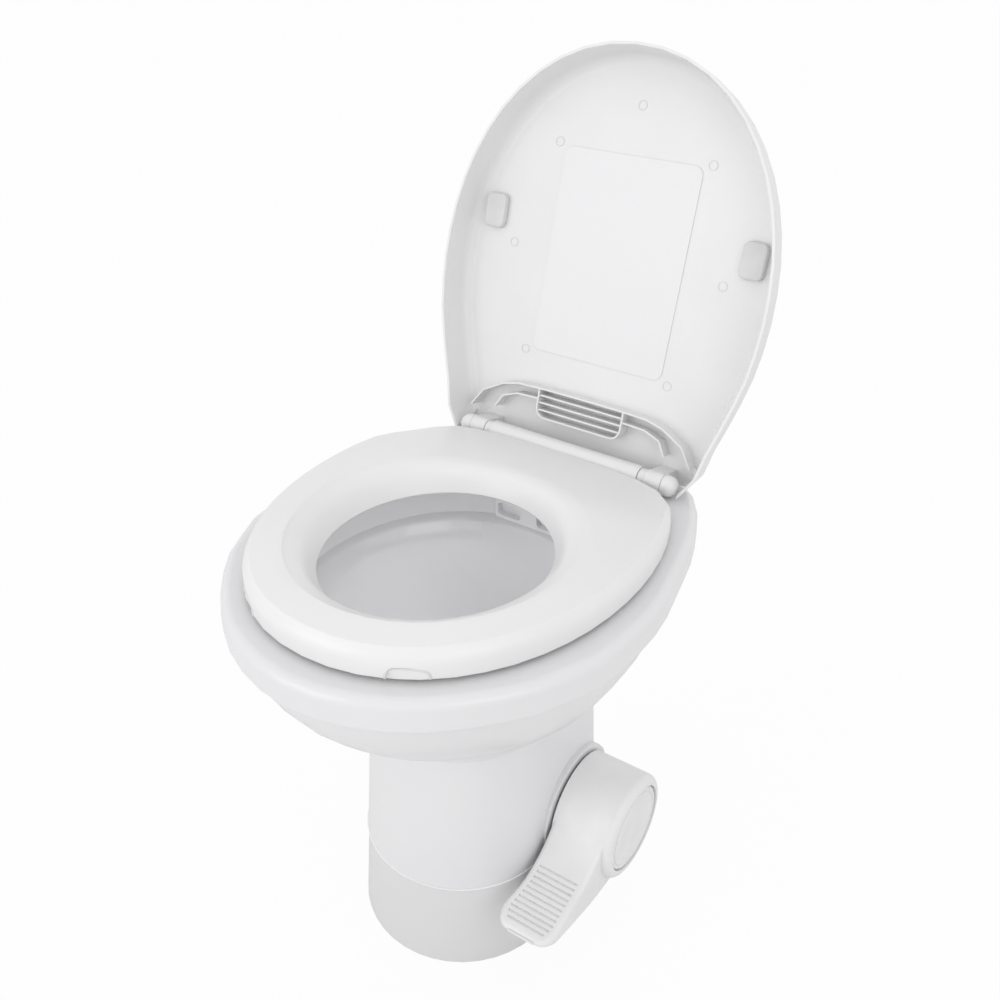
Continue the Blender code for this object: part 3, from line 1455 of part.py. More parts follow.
def seat_in(edge, amount):
    return shrink(edge, amount, SEAT_SPINE[0], SEAT_SPINE[1])


def seat_inner(index, grow=0.0):
    z, half, long, y = SEAT_INNER_PROFILE[index]
    return ellipse(half + grow, long + grow, y)


# Seat ring, hollow from below, with its hinge barrel
def build_seat(pivot):
    edge = seat_outline()
    crest = seat_inner(0)
    wall = SEAT_WALL
    rounding = SEAT_CREST_Z - SEAT_EDGE_Z
    rings = [
        level(seat_in(edge, EDGE_ROUND * 2), SEAT_LOW_Z),
        level(edge, SEAT_LOW_Z + EDGE_ROUND * 2),
        level(edge, SEAT_EDGE_Z - rounding),
    ]
    for turn_deg in (18, 38, 60):
        turn = math.radians(turn_deg)
        step = rounding * 1.7 * (1 - math.cos(turn))
        rings.append(level(seat_in(edge, step), SEAT_EDGE_Z - rounding + rounding * 1.9 * math.sin(turn)))
    rings += [
        level(between(seat_in(edge, rounding * 1.7), crest, 0.45), SEAT_CREST_Z),
        level(between(seat_in(edge, rounding * 1.7), crest, 0.85), SEAT_CREST_Z - EDGE_ROUND),
    ]
    for index, row in enumerate(SEAT_INNER_PROFILE):
        rings.append(level(seat_inner(index), row[0]))
    rings += [
        level(seat_inner(-1, EDGE_ROUND * 2), SEAT_LOW_Z),
        level(seat_inner(-1, wall), SEAT_LOW_Z),
        level(seat_inner(-2, wall), SEAT_RECESS_Z - rounding),
        level(seat_inner(-3, wall * 1.6), SEAT_RECESS_Z),
        level(seat_in(edge, wall * 3.4), SEAT_RECESS_Z),
        level(seat_in(edge, wall * 1.4), SEAT_RECESS_Z - rounding),
        level(seat_in(edge, wall), SEAT_LOW_Z),
    ]
    rings = [seat_drop(ring) for ring in rings]
    seat = loft("seat_ring", rings, white_plastic("seat_white"), True, pivot)
    neck_low = (-BARREL_HALF, SEAT_NECK_FRONT_Y, SEAT_NECK_LOW_Z)
    neck_high = (BARREL_HALF, HINGE_Y, SEAT_NECK_TOP_Z)
    join(seat, block("seat_neck", neck_low, neck_high, pivot=pivot))
    place = (0.0, HINGE_Y, HINGE_Z)
    barrel = rod("seat_barrel", BARREL_RADIUS, -BARREL_HALF, BARREL_HALF, "X", place, pivot=pivot)
    join(seat, barrel)
    for side, name in ((-1, "left"), (1, "right")):
        near, far = sorted((side * (HINGE_PIN_IN_X - FIT_GAP), side * HINGE_PIN_OUT_X))
        cut(seat, rod("barrel_bore_" + name, bore(HINGE_PIN_RADIUS, SMALL_STEPS), near, far, "X", place,
                      steps=SMALL_STEPS, pivot=pivot))
    notch = rounded_rectangle(
        -SEAT_NOTCH_HALF,
        SEAT_LOW_Z - SEAT_NOTCH_ROUND * 2,
        SEAT_NOTCH_HALF,
        SEAT_NOTCH_TOP_Z,
        SEAT_NOTCH_ROUND,
    )
    turn = math.radians(SEAT_NOTCH_TURN_deg)
    for side, name in ((-1, "left"), (1, "right")):
        rings = []
        for out in (-SEAT_NOTCH_DEPTH, SEAT_NOTCH_DEPTH * 4):
            rings.append([(
                side * (SEAT_NOTCH_X + u * math.cos(turn) + out * math.sin(turn)),
                SEAT_NOTCH_Y + u * math.sin(turn) - out * math.cos(turn),
                z,
            ) for u, z in notch])
        cut(seat, loft("finger_notch_" + name, rings, None, pivot=pivot))
    for index, (x, y) in enumerate(SEAT_FEET):
        for side, name in ((-1, "left"), (1, "right")):
            where = ("front", "rear")[index]
            low = RIM_TOP_Z + FIT_GAP
            outline = rounded_rectangle(
                side * x - SEAT_FOOT_HALF,
                y - SEAT_FOOT_LONG,
                side * x + SEAT_FOOT_HALF,
                y + SEAT_FOOT_LONG,
                SEAT_FOOT_HALF * 0.9,
                4,
            )
            rings = [
                level(inset(outline, EDGE_ROUND), low),
                level(outline, low + EDGE_ROUND),
                level(outline, SEAT_RECESS_Z - rounding),
            ]
            label = "seat_bumper_%s_%s" % (where, name)
            loft(label, rings, soft_white(label + "_rubber"), pivot=pivot)
            high = SEAT_RECESS_Z - rounding + FIT_GAP
            slot = prism(label + "_slot", inset(outline, -FIT_GAP), SEAT_LOW_Z - wall, high, pivot=pivot)
            cut(seat, slot)


def lid_outline():
    half = front_curve(LID_HALF, LID_FRONT_LONG, 10) + LID_REAR
    points = []
    for x, y in spline(mirrored(half), 6):
        points.append((x, min(y, HINGE_Y + LID_REAR_REACH)))
    return resample(points, SHELL_STEPS)


# Lid outline at one height, its rear edge drawn in to clear the deck when open
def lid_ring(edge, inside, z, wall=0.0):
    rear = HINGE_Y + LID_REAR_REACH - LID_REAR_SLOPE_share * (z - LID_LIP_Z) - wall
    return [(x, min(y, rear), z) for x, y in shrink(edge, inside, LID_SPINE[0], LID_SPINE[1])]


# Narrow upright rib along a path, from the panel down
def build_rib(name, line, low, pivot):
    count = len(line)
    left, right = [], []
    for i, (x, y) in enumerate(line):
        ax, ay = line[max(i - 1, 0)]
        bx, by = line[min(i + 1, count - 1)]
        length = math.hypot(bx - ax, by - ay)
        nx, ny = -(by - ay) / length * RIB_HALF, (bx - ax) / length * RIB_HALF
        left.append((x + nx, y + ny))
        right.append((x - nx, y - ny))
    top = LID_PANEL_Z + RIB_SINK
    bm = bmesh.new()
    rows = []
    for outline, z in ((left, low), (left, top), (right, top), (right, low)):
        rows.append([bm.verts.new((x, y, z)) for x, y in outline])
    for first, second in zip(rows, rows[1:] + rows[:1]):
        for i in range(count - 1):
            bm.faces.new((first[i], first[i + 1], second[i + 1], second[i]))
    bm.faces.new([row[0] for row in rows])
    bm.faces.new([row[-1] for row in rows])
    return finish(name, bm, None, pivot)


# Lid tray, built closed; the pivot holds it open
def build_lid(pivot):
    edge = lid_outline()
    wall = LID_WALL
    top = LID_PANEL_Z + LID_PANEL
    middle = [(0.0, SEAT_MID_Y)] * SHELL_STEPS
    rings = [[(0.0, SEAT_MID_Y, top + LID_CROWN)]]
    for share in (0.35, 0.7, 0.93):
        lift = LID_CROWN * (1 - share ** 2)
        points = between(middle, shrink(edge, LID_DRAFT + LID_ROUND, LID_SPINE[0], LID_SPINE[1]), share)
        rings.append([(x, y, top + lift) for x, y in points])
    for turn_deg in (90, 68, 45, 22, 0):
        turn = math.radians(turn_deg)
        step = LID_DRAFT + LID_ROUND * (1 - math.cos(turn))
        rings.append(lid_ring(edge, step, top - LID_ROUND + LID_ROUND * math.sin(turn)))
    rings.append(lid_ring(edge, 0.0, LID_LIP_Z))
    rings.append(lid_ring(edge, wall, LID_LIP_Z, wall))
    for turn_deg in (0, 30, 60, 90):
        turn = math.radians(turn_deg)
        step = LID_DRAFT + wall + (LID_ROUND - wall) * (1 - math.cos(turn))
        rings.append(lid_ring(edge, step, LID_PANEL_Z - (LID_ROUND - wall) * (1 - math.sin(turn)), wall))
    last = [(x, y) for x, y, z in rings[-1]]
    rings.append(level(between(last, middle, LID_HOLD_share), LID_PANEL_Z))
    rings.append([(0.0, SEAT_MID_Y, LID_PANEL_Z)])
    lid = loft("lid", rings, white_plastic("lid_white"), pivot=pivot)
    low = (-LID_OPENING_HALF, HINGE_Y - LID_REAR_REACH, LID_LIP_Z - LID_ROUND)
    high = (LID_OPENING_HALF, HINGE_Y + LID_REAR_REACH * 2, LID_PANEL_Z - RIB_SINK)
    cut(lid, block("lid_rear_opening", low, high, pivot=pivot))
    place = (0.0, HINGE_Y, HINGE_Z)
    for side, name in ((-1, "left"), (1, "right")):
        near, far = sorted((side * KNUCKLE_IN_X, side * KNUCKLE_OUT_X))
        tool = rod("knuckle_" + name, KNUCKLE_RADIUS, near, far, "X", place, steps=SMALL_STEPS, pivot=pivot)
        join(lid, tool)
        low = (near + KNUCKLE_EDGE, HINGE_Y - KNUCKLE_RADIUS * 0.95, HINGE_Z)
        high = (far - KNUCKLE_EDGE, HINGE_Y - EDGE_ROUND, LID_PANEL_Z + RIB_SINK)
        join(lid, block("knuckle_arm_" + name, low, high, pivot=pivot))
        near, far = sorted((side * HINGE_PIN_IN_X, side * HINGE_PIN_OUT_X + side * FIT_GAP))
        cut(lid, rod("knuckle_bore_" + name, bore(HINGE_PIN_RADIUS, SMALL_STEPS), near, far, "X", place,
                     steps=SMALL_STEPS, pivot=pivot))
    path = OUTER_ARCH + [(-x, y) for x, y in reversed(OUTER_ARCH[:-1])]
    join(lid, build_rib("arch_outer", path, RIB_LOW_Z, pivot))
    for side, name in ((-1, "left"), (1, "right")):
        path = [(side * x, y) for x, y in INNER_ARCH]
        join(lid, build_rib("arch_" + name, path, RIB_LOW_Z + RIB_HALF, pivot))
    front = OUTER_ARCH[-1][1]
    box = [(BOX_HALF, front)]
    for k in range(5):
        turn = math.radians(90 * k / 4)
        box.append((
            BOX_HALF - BOX_ROUND + BOX_ROUND * math.cos(turn),
            BOX_REAR_Y - BOX_ROUND + BOX_ROUND * math.sin(turn),
        ))
    path = box + [(-x, y) for x, y in reversed(box)]
    join(lid, build_rib("arch_box", path, RIB_LOW_Z, pivot))
    for k in range(BOX_LINE_COUNT):
        y = front + (BOX_REAR_Y - front) * (k + 1) / (BOX_LINE_COUNT + 1)
        line = [(BOX_HALF, y), (0.0, y), (-BOX_HALF, y)]
        join(lid, build_rib("box_line_%d" % (k + 1), line, RIB_LOW_Z + RIB_HALF * 2, pivot))
    for side, name in ((-1, "left"), (1, "right")):
        outline = rounded_rectangle(
            side * LID_BUMPER_X - LID_BUMPER_HALF_X,
            LID_BUMPER_Y - LID_BUMPER_HALF_Y,
            side * LID_BUMPER_X + LID_BUMPER_HALF_X,
            LID_BUMPER_Y + LID_BUMPER_HALF_Y,
            LID_BUMPER_ROUND,
            4,
        )
        top = LID_PANEL_Z - FIT_GAP
        rings = [
            level(outline, top),
            level(outline, LID_BUMPER_LOW_Z + EDGE_ROUND * 2),
            level(inset(outline, EDGE_ROUND * 2), LID_BUMPER_LOW_Z),
        ]
        loft("lid_bumper_" + name, rings, soft_white("lid_bumper_rubber_" + name), pivot=pivot)
    outline = rounded_rectangle(-LABEL_HALF, LABEL_FRONT_Y, LABEL_HALF, LABEL_REAR_Y, LABEL_ROUND)
    top = LID_PANEL_Z - FIT_GAP
    paint = material("label_paper", (0.90, 0.90, 0.91), 0.2)
    prism("lid_label", outline, top - LABEL_THICK, top, paint, pivot)


def main():
    clear_scene()
    pedal_axis = pivot_empty("pedal_axis", (0.0, PEDAL_Y, PEDAL_Z))
    seat_axis = pivot_empty("seat_axis", (0.0, HINGE_Y, HINGE_Z))
    lid_axis = pivot_empty("lid_axis", (0.0, HINGE_Y, HINGE_Z), -LID_OPEN_deg)
    build_base()
    build_gasket()
    for side, name in ((-1, "left"), (1, "right")):
        build_floor_bolt(side, name)
        build_floor_nut(side, name)
    build_pedestal_shell()
    build_bush()
    build_valve_body()
    build_outlet_seal()
    build_flush_valve(pedal_axis)
    build_pivot_pin()
    build_pedal_shaft(pedal_axis)
    build_return_spring()
    build_pedal(pedal_axis)
    build_pedal_cap(pedal_axis)
    build_pedal_screw(pedal_axis)
    build_rim_cover()
    build_bowl_liner()
    build_bowl_skirt()
    build_rinse_spout()
    build_water_valve()
    build_push_rod()
    build_inlet_nut()
    build_breaker_body()
    build_breaker_poppet()
    build_tubes()
    for side, name in ((-1, "left"), (1, "right")):
        build_hinge_side(side, name, lid_axis)
    build_seat(seat_axis)
    build_lid(lid_axis)


main()
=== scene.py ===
import json
import math
from dataclasses import dataclass

import bmesh
import bpy
from bpy.props import FloatProperty, FloatVectorProperty, IntProperty, PointerProperty
from mathutils import Matrix, Vector
from mathutils.bvhtree import BVHTree

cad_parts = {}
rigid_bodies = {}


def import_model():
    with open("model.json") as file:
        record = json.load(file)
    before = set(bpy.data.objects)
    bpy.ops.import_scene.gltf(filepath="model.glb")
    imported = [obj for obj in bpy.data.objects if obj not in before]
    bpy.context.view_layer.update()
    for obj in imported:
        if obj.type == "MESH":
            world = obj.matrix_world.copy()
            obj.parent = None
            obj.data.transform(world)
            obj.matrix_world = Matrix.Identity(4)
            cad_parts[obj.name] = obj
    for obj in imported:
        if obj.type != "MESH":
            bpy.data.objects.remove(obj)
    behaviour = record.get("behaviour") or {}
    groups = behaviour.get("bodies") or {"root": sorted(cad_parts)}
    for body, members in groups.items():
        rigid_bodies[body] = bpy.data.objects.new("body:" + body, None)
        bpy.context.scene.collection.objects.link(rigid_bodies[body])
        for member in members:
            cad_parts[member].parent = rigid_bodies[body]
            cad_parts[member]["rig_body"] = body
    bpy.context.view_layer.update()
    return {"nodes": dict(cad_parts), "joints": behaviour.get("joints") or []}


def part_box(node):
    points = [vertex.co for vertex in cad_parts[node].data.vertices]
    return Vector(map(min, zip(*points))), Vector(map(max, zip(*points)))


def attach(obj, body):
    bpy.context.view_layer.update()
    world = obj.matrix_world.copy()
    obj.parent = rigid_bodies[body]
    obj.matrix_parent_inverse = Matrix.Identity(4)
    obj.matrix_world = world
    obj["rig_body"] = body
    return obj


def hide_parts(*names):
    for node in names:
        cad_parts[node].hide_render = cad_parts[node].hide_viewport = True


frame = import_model()

bl_info = {
    "name": "Gravity flush toilet",
    "version": (1, 0, 0),
    "blender": (4, 5, 0),
    "location": "View3D > Sidebar > Toilet",
    "description": "Dresses the packed toilet with finished mouldings and sets it in a studio",
    "category": "Object",
}

# Mesh cleaning
MERGE = 0.00001
FLAT_deg = 0.4
ROUND_FROM_deg = 34.0
SHARP_FROM_deg = 50.0
ROUND_STEPS = 3

# Steps along outlines and curves
COVER_STEPS = 96
SEAM_STEPS = 288
ARCH_STEPS = 32
THREAD_STEPS = 24
RING_STEPS = 40

# Sides of the beads
PATH_SIDES = 10
THREAD_SIDES = 6
RING_SIDES = 8
PITCH_PER_BEAD = 3

# Noise in the materials: its detail, and the span of its values that is used
GRAIN_DETAIL = 3.0
WAVE_DETAIL = 1.0
WAVE_PER_GRAIN = 0.025
PATCH_DETAIL = 5.0
PATCH_SPAN = (0.35, 0.65)
PATCHES_PER_CLOUD = 2
CLOUD_DETAIL = 4.0
CLOUD_SPAN = (0.3, 0.75)

# The floor's roughness, and the height that the lamps aim at
FLOOR_ROUGH = 0.7
AIM_Z = 0.4407

# Frame sizes that the pieces are worked out from
LABEL_LOW, LABEL_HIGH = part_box("lid_label")
CAP_LOW, CAP_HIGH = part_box("pedal_cap")
LID_HINGE = next(joint for joint in frame["joints"] if joint["name"] == "lid_hinge")
LID_OPEN_rad = -math.radians(LID_HINGE["range_deg"][0])


# Colours of the mouldings
class ToiletFinish(bpy.types.PropertyGroup):
    shell_white: FloatVectorProperty(
        name="Shell white", description="Pedestal, bowl and rim", subtype="COLOR",
        default=(0.71, 0.71, 0.72)
    )
    shell_shade: FloatVectorProperty(
        name="Shell shade", description="Slow drift in the shell's white", subtype="COLOR",
        default=(0.68, 0.68, 0.695)
    )
    # Painted shade: the lower skirt is painted greyer than the shell, for the shade under the seam's lip
    # and the pedal
    skirt_shaded_white: FloatVectorProperty(
        name="Skirt white", description="Lower skirt", subtype="COLOR", default=(0.66, 0.655, 0.66)
    )
    skirt_shade: FloatVectorProperty(
        name="Skirt shade", description="Slow drift in the skirt", subtype="COLOR",
        default=(0.64, 0.635, 0.645)
    )
    # Painted highlight: the lip on the pedestal's seam is painted brighter than the shell, for the
    # highlight along its rounded edge
    lip_highlight_white: FloatVectorProperty(
        name="Lip white", description="Lip on the pedestal's seam", subtype="COLOR",
        default=(0.86, 0.86, 0.86)
    )
    seat_white: FloatVectorProperty(
        name="Seat white", description="Seat and lid", subtype="COLOR", default=(0.76, 0.76, 0.76)
    )
    seat_shade: FloatVectorProperty(
        name="Seat shade", description="Slow drift in the seat's white", subtype="COLOR",
        default=(0.73, 0.73, 0.735)
    )
    # Painted light: the inner bowl is painted far brighter than the shell, for light in the bowl where the
    # seat and rim shade it; the flush valve and rinse nozzle share this paint
    bowl_lit_white: FloatVectorProperty(
        name="Bowl white", description="Inner bowl", subtype="COLOR", default=(0.95, 0.95, 0.96)
    )
    bowl_shade: FloatVectorProperty(
        name="Bowl shade", description="Slow drift in the bowl's white", subtype="COLOR",
        default=(0.93, 0.93, 0.95)
    )
    pedal_white: FloatVectorProperty(
        name="Pedal white", description="Foot pedal and its cover", subtype="COLOR",
        default=(0.75, 0.75, 0.75)
    )
    pedal_shade: FloatVectorProperty(
        name="Pedal shade", description="Worn tone of the pedal", subtype="COLOR",
        default=(0.72, 0.72, 0.725)
    )
    sheet_white: FloatVectorProperty(
        name="Sheet white", description="Blank sheet in the lid", subtype="COLOR",
        default=(0.755, 0.755, 0.765)
    )
    # Greyer than the seat: on the seat's feet and notch edges this grey is painted shade in the finger
    # notches; on the lid stops and hinge nuts it is their own tone
    soft_white_and_notch_shade: FloatVectorProperty(
        name="Soft white", description="Seat feet and lid stops", subtype="COLOR",
        default=(0.66, 0.66, 0.66)
    )
    soft_shade: FloatVectorProperty(
        name="Soft shade", description="Drift in the soft feet", subtype="COLOR", default=(0.61, 0.61, 0.62)
    )
    black: FloatVectorProperty(
        name="Black", description="Water fittings", subtype="COLOR", default=(0.035, 0.035, 0.038)
    )
    black_shade: FloatVectorProperty(
        name="Black shade", description="Paler black of rubbed plastic", subtype="COLOR",
        default=(0.06, 0.06, 0.065)
    )
    valve_grey: FloatVectorProperty(
        name="Valve grey", description="Flush chamber and blade", subtype="COLOR",
        default=(0.55, 0.57, 0.59)
    )
    valve_shade: FloatVectorProperty(
        name="Valve shade", description="Drift in the valve's grey", subtype="COLOR",
        default=(0.48, 0.50, 0.53)
    )
    steel: FloatVectorProperty(
        name="Steel", description="Bolts, pins and spring", subtype="COLOR", default=(0.60, 0.61, 0.63)
    )
    steel_shade: FloatVectorProperty(
        name="Steel shade", description="Dull steel", subtype="COLOR", default=(0.48, 0.49, 0.51)
    )


# Sizes that are set for the dressed pieces only
class ToiletSizes(bpy.types.PropertyGroup):
    shell_round: FloatProperty(
        name="Shell edge", description="Radius on the shell's edges", subtype="DISTANCE", default=0.0008
    )
    seat_round: FloatProperty(
        name="Seat edge", description="Radius on the seat's edges", subtype="DISTANCE", default=0.0010
    )
    small_round: FloatProperty(
        name="Small edge", description="Radius on small mouldings", subtype="DISTANCE", default=0.0004
    )
    sheet_round: FloatProperty(
        name="Sheet edge", description="Radius on the blank sheet's edges", subtype="DISTANCE",
        default=0.00005
    )
    seam_bead: FloatProperty(
        name="Seam lip", description="Radius of the lip on the pedestal's seam", subtype="DISTANCE",
        default=0.0011
    )
    notch_x: FloatProperty(
        name="Notch across", description="Finger notch's distance from the middle", subtype="DISTANCE",
        default=0.081
    )
    notch_y: FloatProperty(
        name="Notch along", description="Finger notch's place along the seat", subtype="DISTANCE",
        default=-0.2157
    )
    notch_turn: FloatProperty(
        name="Notch turn", description="Turn of the notch round the seat", subtype="ANGLE",
        default=math.radians(27.1)
    )
    notch_half: FloatProperty(
        name="Notch half", description="Half the notch's width", subtype="DISTANCE", default=0.0165
    )
    notch_rise: FloatProperty(
        name="Notch rise", description="Height of the notch's arch", subtype="DISTANCE", default=0.0125
    )
    notch_square: FloatProperty(
        name="Notch corners", description="Squareness of the arch, 1 is round", subtype="FACTOR",
        default=0.5, min=0.1, max=1.0
    )
    notch_bead: FloatProperty(
        name="Notch edge", description="Radius of the arch's raised edge", subtype="DISTANCE",
        default=0.0009
    )
    mark_count: IntProperty(name="Marks", description="Ejector marks in the lid", default=8, min=3, max=24)
    mark_half_width: FloatProperty(
        name="Marks across", description="Half width of the marks' ellipse", subtype="DISTANCE",
        default=0.112
    )
    mark_half_length: FloatProperty(
        name="Marks along", description="Half length of the marks' ellipse", subtype="DISTANCE",
        default=0.142
    )
    mark_radius: FloatProperty(
        name="Mark radius", description="Radius of one ejector mark", subtype="DISTANCE", default=0.0042
    )
    mark_bead: FloatProperty(
        name="Mark edge", description="Radius of a mark's raised edge", subtype="DISTANCE", default=0.0002
    )
    cover_bead: FloatProperty(
        name="Cover bead", description="Radius of the bead round the pedal's cover", subtype="DISTANCE",
        default=0.0007
    )
    cover_inset: FloatProperty(
        name="Bead inset", description="Bead's distance from the cover's edge", subtype="DISTANCE",
        default=0.0055
    )
    bolt_pitch: FloatProperty(
        name="Bolt pitch", description="Pitch of the floor bolts' thread", subtype="DISTANCE",
        default=0.00125
    )
    bolt_radius: FloatProperty(
        name="Bolt radius", description="Radius of the floor bolts' shank", subtype="DISTANCE",
        default=0.0035
    )
    bolt_bare: FloatProperty(
        name="Bare shank", description="Length of shank without thread", subtype="DISTANCE", default=0.0185
    )


# Where the camera stands, and how much light the studio gives
class ToiletStudio(bpy.types.PropertyGroup):
    azimuth: FloatProperty(
        name="Azimuth", description="Camera's turn", subtype="ANGLE", default=math.radians(33.911)
    )
    elevation: FloatProperty(
        name="Elevation", description="Camera's height angle", subtype="ANGLE", default=math.radians(30.706)
    )
    roll: FloatProperty(
        name="Roll", description="Camera's roll", subtype="ANGLE", default=math.radians(0.612)
    )
    place: FloatVectorProperty(
        name="Camera place", description="Where the camera stands", subtype="XYZ", unit="LENGTH",
        default=(0.469, -0.676, 0.941)
    )
    lens: FloatProperty(
        name="Lens", description="Focal length in millimetres", unit="CAMERA", default=39.0
    )
    sensor: FloatProperty(
        name="Sensor", description="Sensor width in millimetres", unit="CAMERA", default=36.0
    )
    floor_half: FloatProperty(
        name="Floor", description="Half the floor's side", subtype="DISTANCE", default=14.0
    )
    sky: FloatProperty(name="Sky", description="Strength of the light from all round", default=1.0)
    key_watts: FloatProperty(
        name="Key", description="Power of the key lamp", unit="POWER", default=13.0
    )
    key_place: FloatVectorProperty(
        name="Key place", description="Where the key lamp hangs", subtype="XYZ", unit="LENGTH",
        default=(-0.9, -2.4, 1.1)
    )
    key_side: FloatProperty(
        name="Key side", description="Side of the key lamp's panel", subtype="DISTANCE", default=1.7
    )
    fill_watts: FloatProperty(
        name="Fill", description="Power of the fill lamp", unit="POWER", default=8.0
    )
    fill_place: FloatVectorProperty(
        name="Fill place", description="Where the fill lamp hangs", subtype="XYZ", unit="LENGTH",
        default=(2.4, -1.3, 1.5)
    )
    fill_side: FloatProperty(
        name="Fill side", description="Side of the fill lamp's panel", subtype="DISTANCE", default=1.6
    )
    bowl_watts: FloatProperty(
        name="Bowl", description="Power of the lamp that shines into the bowl", unit="POWER",
        default=18.0
    )
    bowl_place: FloatVectorProperty(
        name="Bowl lamp", description="Where the bowl's lamp hangs", subtype="XYZ", unit="LENGTH",
        default=(0.25, -0.45, 1.55)
    )
    bowl_aim: FloatProperty(
        name="Bowl aim", description="Place along the seat that the lamp aims at", subtype="DISTANCE",
        default=-0.075
    )
    bowl_cone: FloatProperty(
        name="Bowl cone", description="Width of the lamp's cone", subtype="ANGLE", default=math.radians(8.0)
    )
    bowl_fade: FloatProperty(
        name="Bowl fade", description="Softness of the cone's edge", subtype="FACTOR", default=0.7,
        min=0.0, max=1.0
    )
    bowl_glass: FloatProperty(
        name="Bowl glass", description="Radius of the lamp's glass", subtype="DISTANCE", default=0.08
    )
    floor_tone: FloatVectorProperty(
        name="Floor tone", description="Floor's own colour", subtype="COLOR", default=(0.80, 0.80, 0.80)
    )
    floor_glow: FloatProperty(
        name="Floor glow", description="Share of plain white in what the camera sees of the floor",
        subtype="FACTOR", default=0.93, min=0.0, max=1.0
    )


def finish():
    return bpy.context.scene.toilet_finish


def sizes():
    return bpy.context.scene.toilet_sizes


def studio():
    return bpy.context.scene.toilet_studio


# A shader node group with named sockets, built once
def shader_group(name, inputs, outputs):
    tree = bpy.data.node_groups.new(name, "ShaderNodeTree")
    for label, kind, value in inputs:
        socket = tree.interface.new_socket(name=label, in_out="INPUT", socket_type=kind)
        socket.default_value = value
    for label, kind in outputs:
        tree.interface.new_socket(name=label, in_out="OUTPUT", socket_type=kind)
    return tree, tree.nodes.new("NodeGroupInput"), tree.nodes.new("NodeGroupOutput")


# Noise in the piece's own space, its scale a socket's value times a factor
def noise_at(tree, size_socket, detail, factor=1.0):
    where = tree.nodes.new("ShaderNodeTexCoord")
    scale = tree.nodes.new("ShaderNodeMath")
    scale.operation = "MULTIPLY"
    scale.inputs[1].default_value = factor
    noise = tree.nodes.new("ShaderNodeTexNoise")
    noise.inputs["Detail"].default_value = detail
    tree.links.new(size_socket, scale.inputs[0])
    tree.links.new(where.outputs["Object"], noise.inputs["Vector"])
    tree.links.new(scale.outputs[0], noise.inputs["Scale"])
    return noise.outputs["Fac"]


# A span of noise stretched smoothly over the whole range
def stretched(tree, noise, span):
    stretch = tree.nodes.new("ShaderNodeMapRange")
    stretch.interpolation_type = "SMOOTHERSTEP"
    stretch.inputs["From Min"].default_value = span[0]
    stretch.inputs["From Max"].default_value = span[1]
    tree.links.new(noise, stretch.inputs["Value"])
    return stretch


# Fine mould texture with a slow sink-mark wave under it
def moulding_grain():
    if "moulding_grain" in bpy.data.node_groups:
        return bpy.data.node_groups["moulding_grain"]
    inputs = (("Grain", "NodeSocketFloat", 900.0), ("Wave share", "NodeSocketFloat", 0.35))
    tree, start, end = shader_group("moulding_grain", inputs, (("Height", "NodeSocketFloat"),))
    fine = noise_at(tree, start.outputs["Grain"], GRAIN_DETAIL)
    slow = noise_at(tree, start.outputs["Grain"], WAVE_DETAIL, WAVE_PER_GRAIN)
    blend = tree.nodes.new("ShaderNodeMix")
    blend.data_type = "FLOAT"
    tree.links.new(start.outputs["Wave share"], blend.inputs["Factor"])
    tree.links.new(fine, blend.inputs["A"])
    tree.links.new(slow, blend.inputs["B"])
    tree.links.new(blend.outputs["Result"], end.inputs["Height"])
    return tree


# Gloss that drifts between two values, as handled plastic does
def polish_drift():
    if "polish_drift" in bpy.data.node_groups:
        return bpy.data.node_groups["polish_drift"]
    inputs = (
        ("Smooth", "NodeSocketFloat", 0.2),
        ("Dull", "NodeSocketFloat", 0.35),
        ("Patches", "NodeSocketFloat", 14.0),
    )
    tree, start, end = shader_group("polish_drift", inputs, (("Roughness", "NodeSocketFloat"),))
    patches = noise_at(tree, start.outputs["Patches"], PATCH_DETAIL)
    gloss = stretched(tree, patches, PATCH_SPAN)
    tree.links.new(start.outputs["Smooth"], gloss.inputs["To Min"])
    tree.links.new(start.outputs["Dull"], gloss.inputs["To Max"])
    tree.links.new(gloss.outputs["Result"], end.inputs["Roughness"])
    return tree


# Colour that drifts between a tone and its shade
def tone_drift():
    if "tone_drift" in bpy.data.node_groups:
        return bpy.data.node_groups["tone_drift"]
    inputs = (
        ("Tone", "NodeSocketColor", (0.8, 0.8, 0.8, 1.0)),
        ("Shade", "NodeSocketColor", (0.7, 0.7, 0.7, 1.0)),
        ("Clouds", "NodeSocketFloat", 9.0),
    )
    tree, start, end = shader_group("tone_drift", inputs, (("Colour", "NodeSocketColor"),))
    clouds = noise_at(tree, start.outputs["Clouds"], CLOUD_DETAIL)
    drift = stretched(tree, clouds, CLOUD_SPAN)
    blend = tree.nodes.new("ShaderNodeMix")
    blend.data_type = "RGBA"
    tree.links.new(drift.outputs["Result"], blend.inputs["Factor"])
    tree.links.new(start.outputs["Tone"], blend.inputs["A"])
    tree.links.new(start.outputs["Shade"], blend.inputs["B"])
    tree.links.new(blend.outputs["Result"], end.inputs["Colour"])
    return tree


# A shader group in a material, with the values given
def place_group(tree, group, values):
    node = tree.nodes.new("ShaderNodeGroup")
    node.node_tree = group
    for label, value in values.items():
        node.inputs[label].default_value = value
    return node


# A material's values: roughness from smooth to dull, size and depth of its grain, and how it drifts
@dataclass(frozen=True)
class Surface:
    smooth: float
    dull: float
    grain: float
    depth: float
    clouds: float = 4.0
    wave: float = 0.05
    metallic: float = 0.0
    coat: float = 0.0


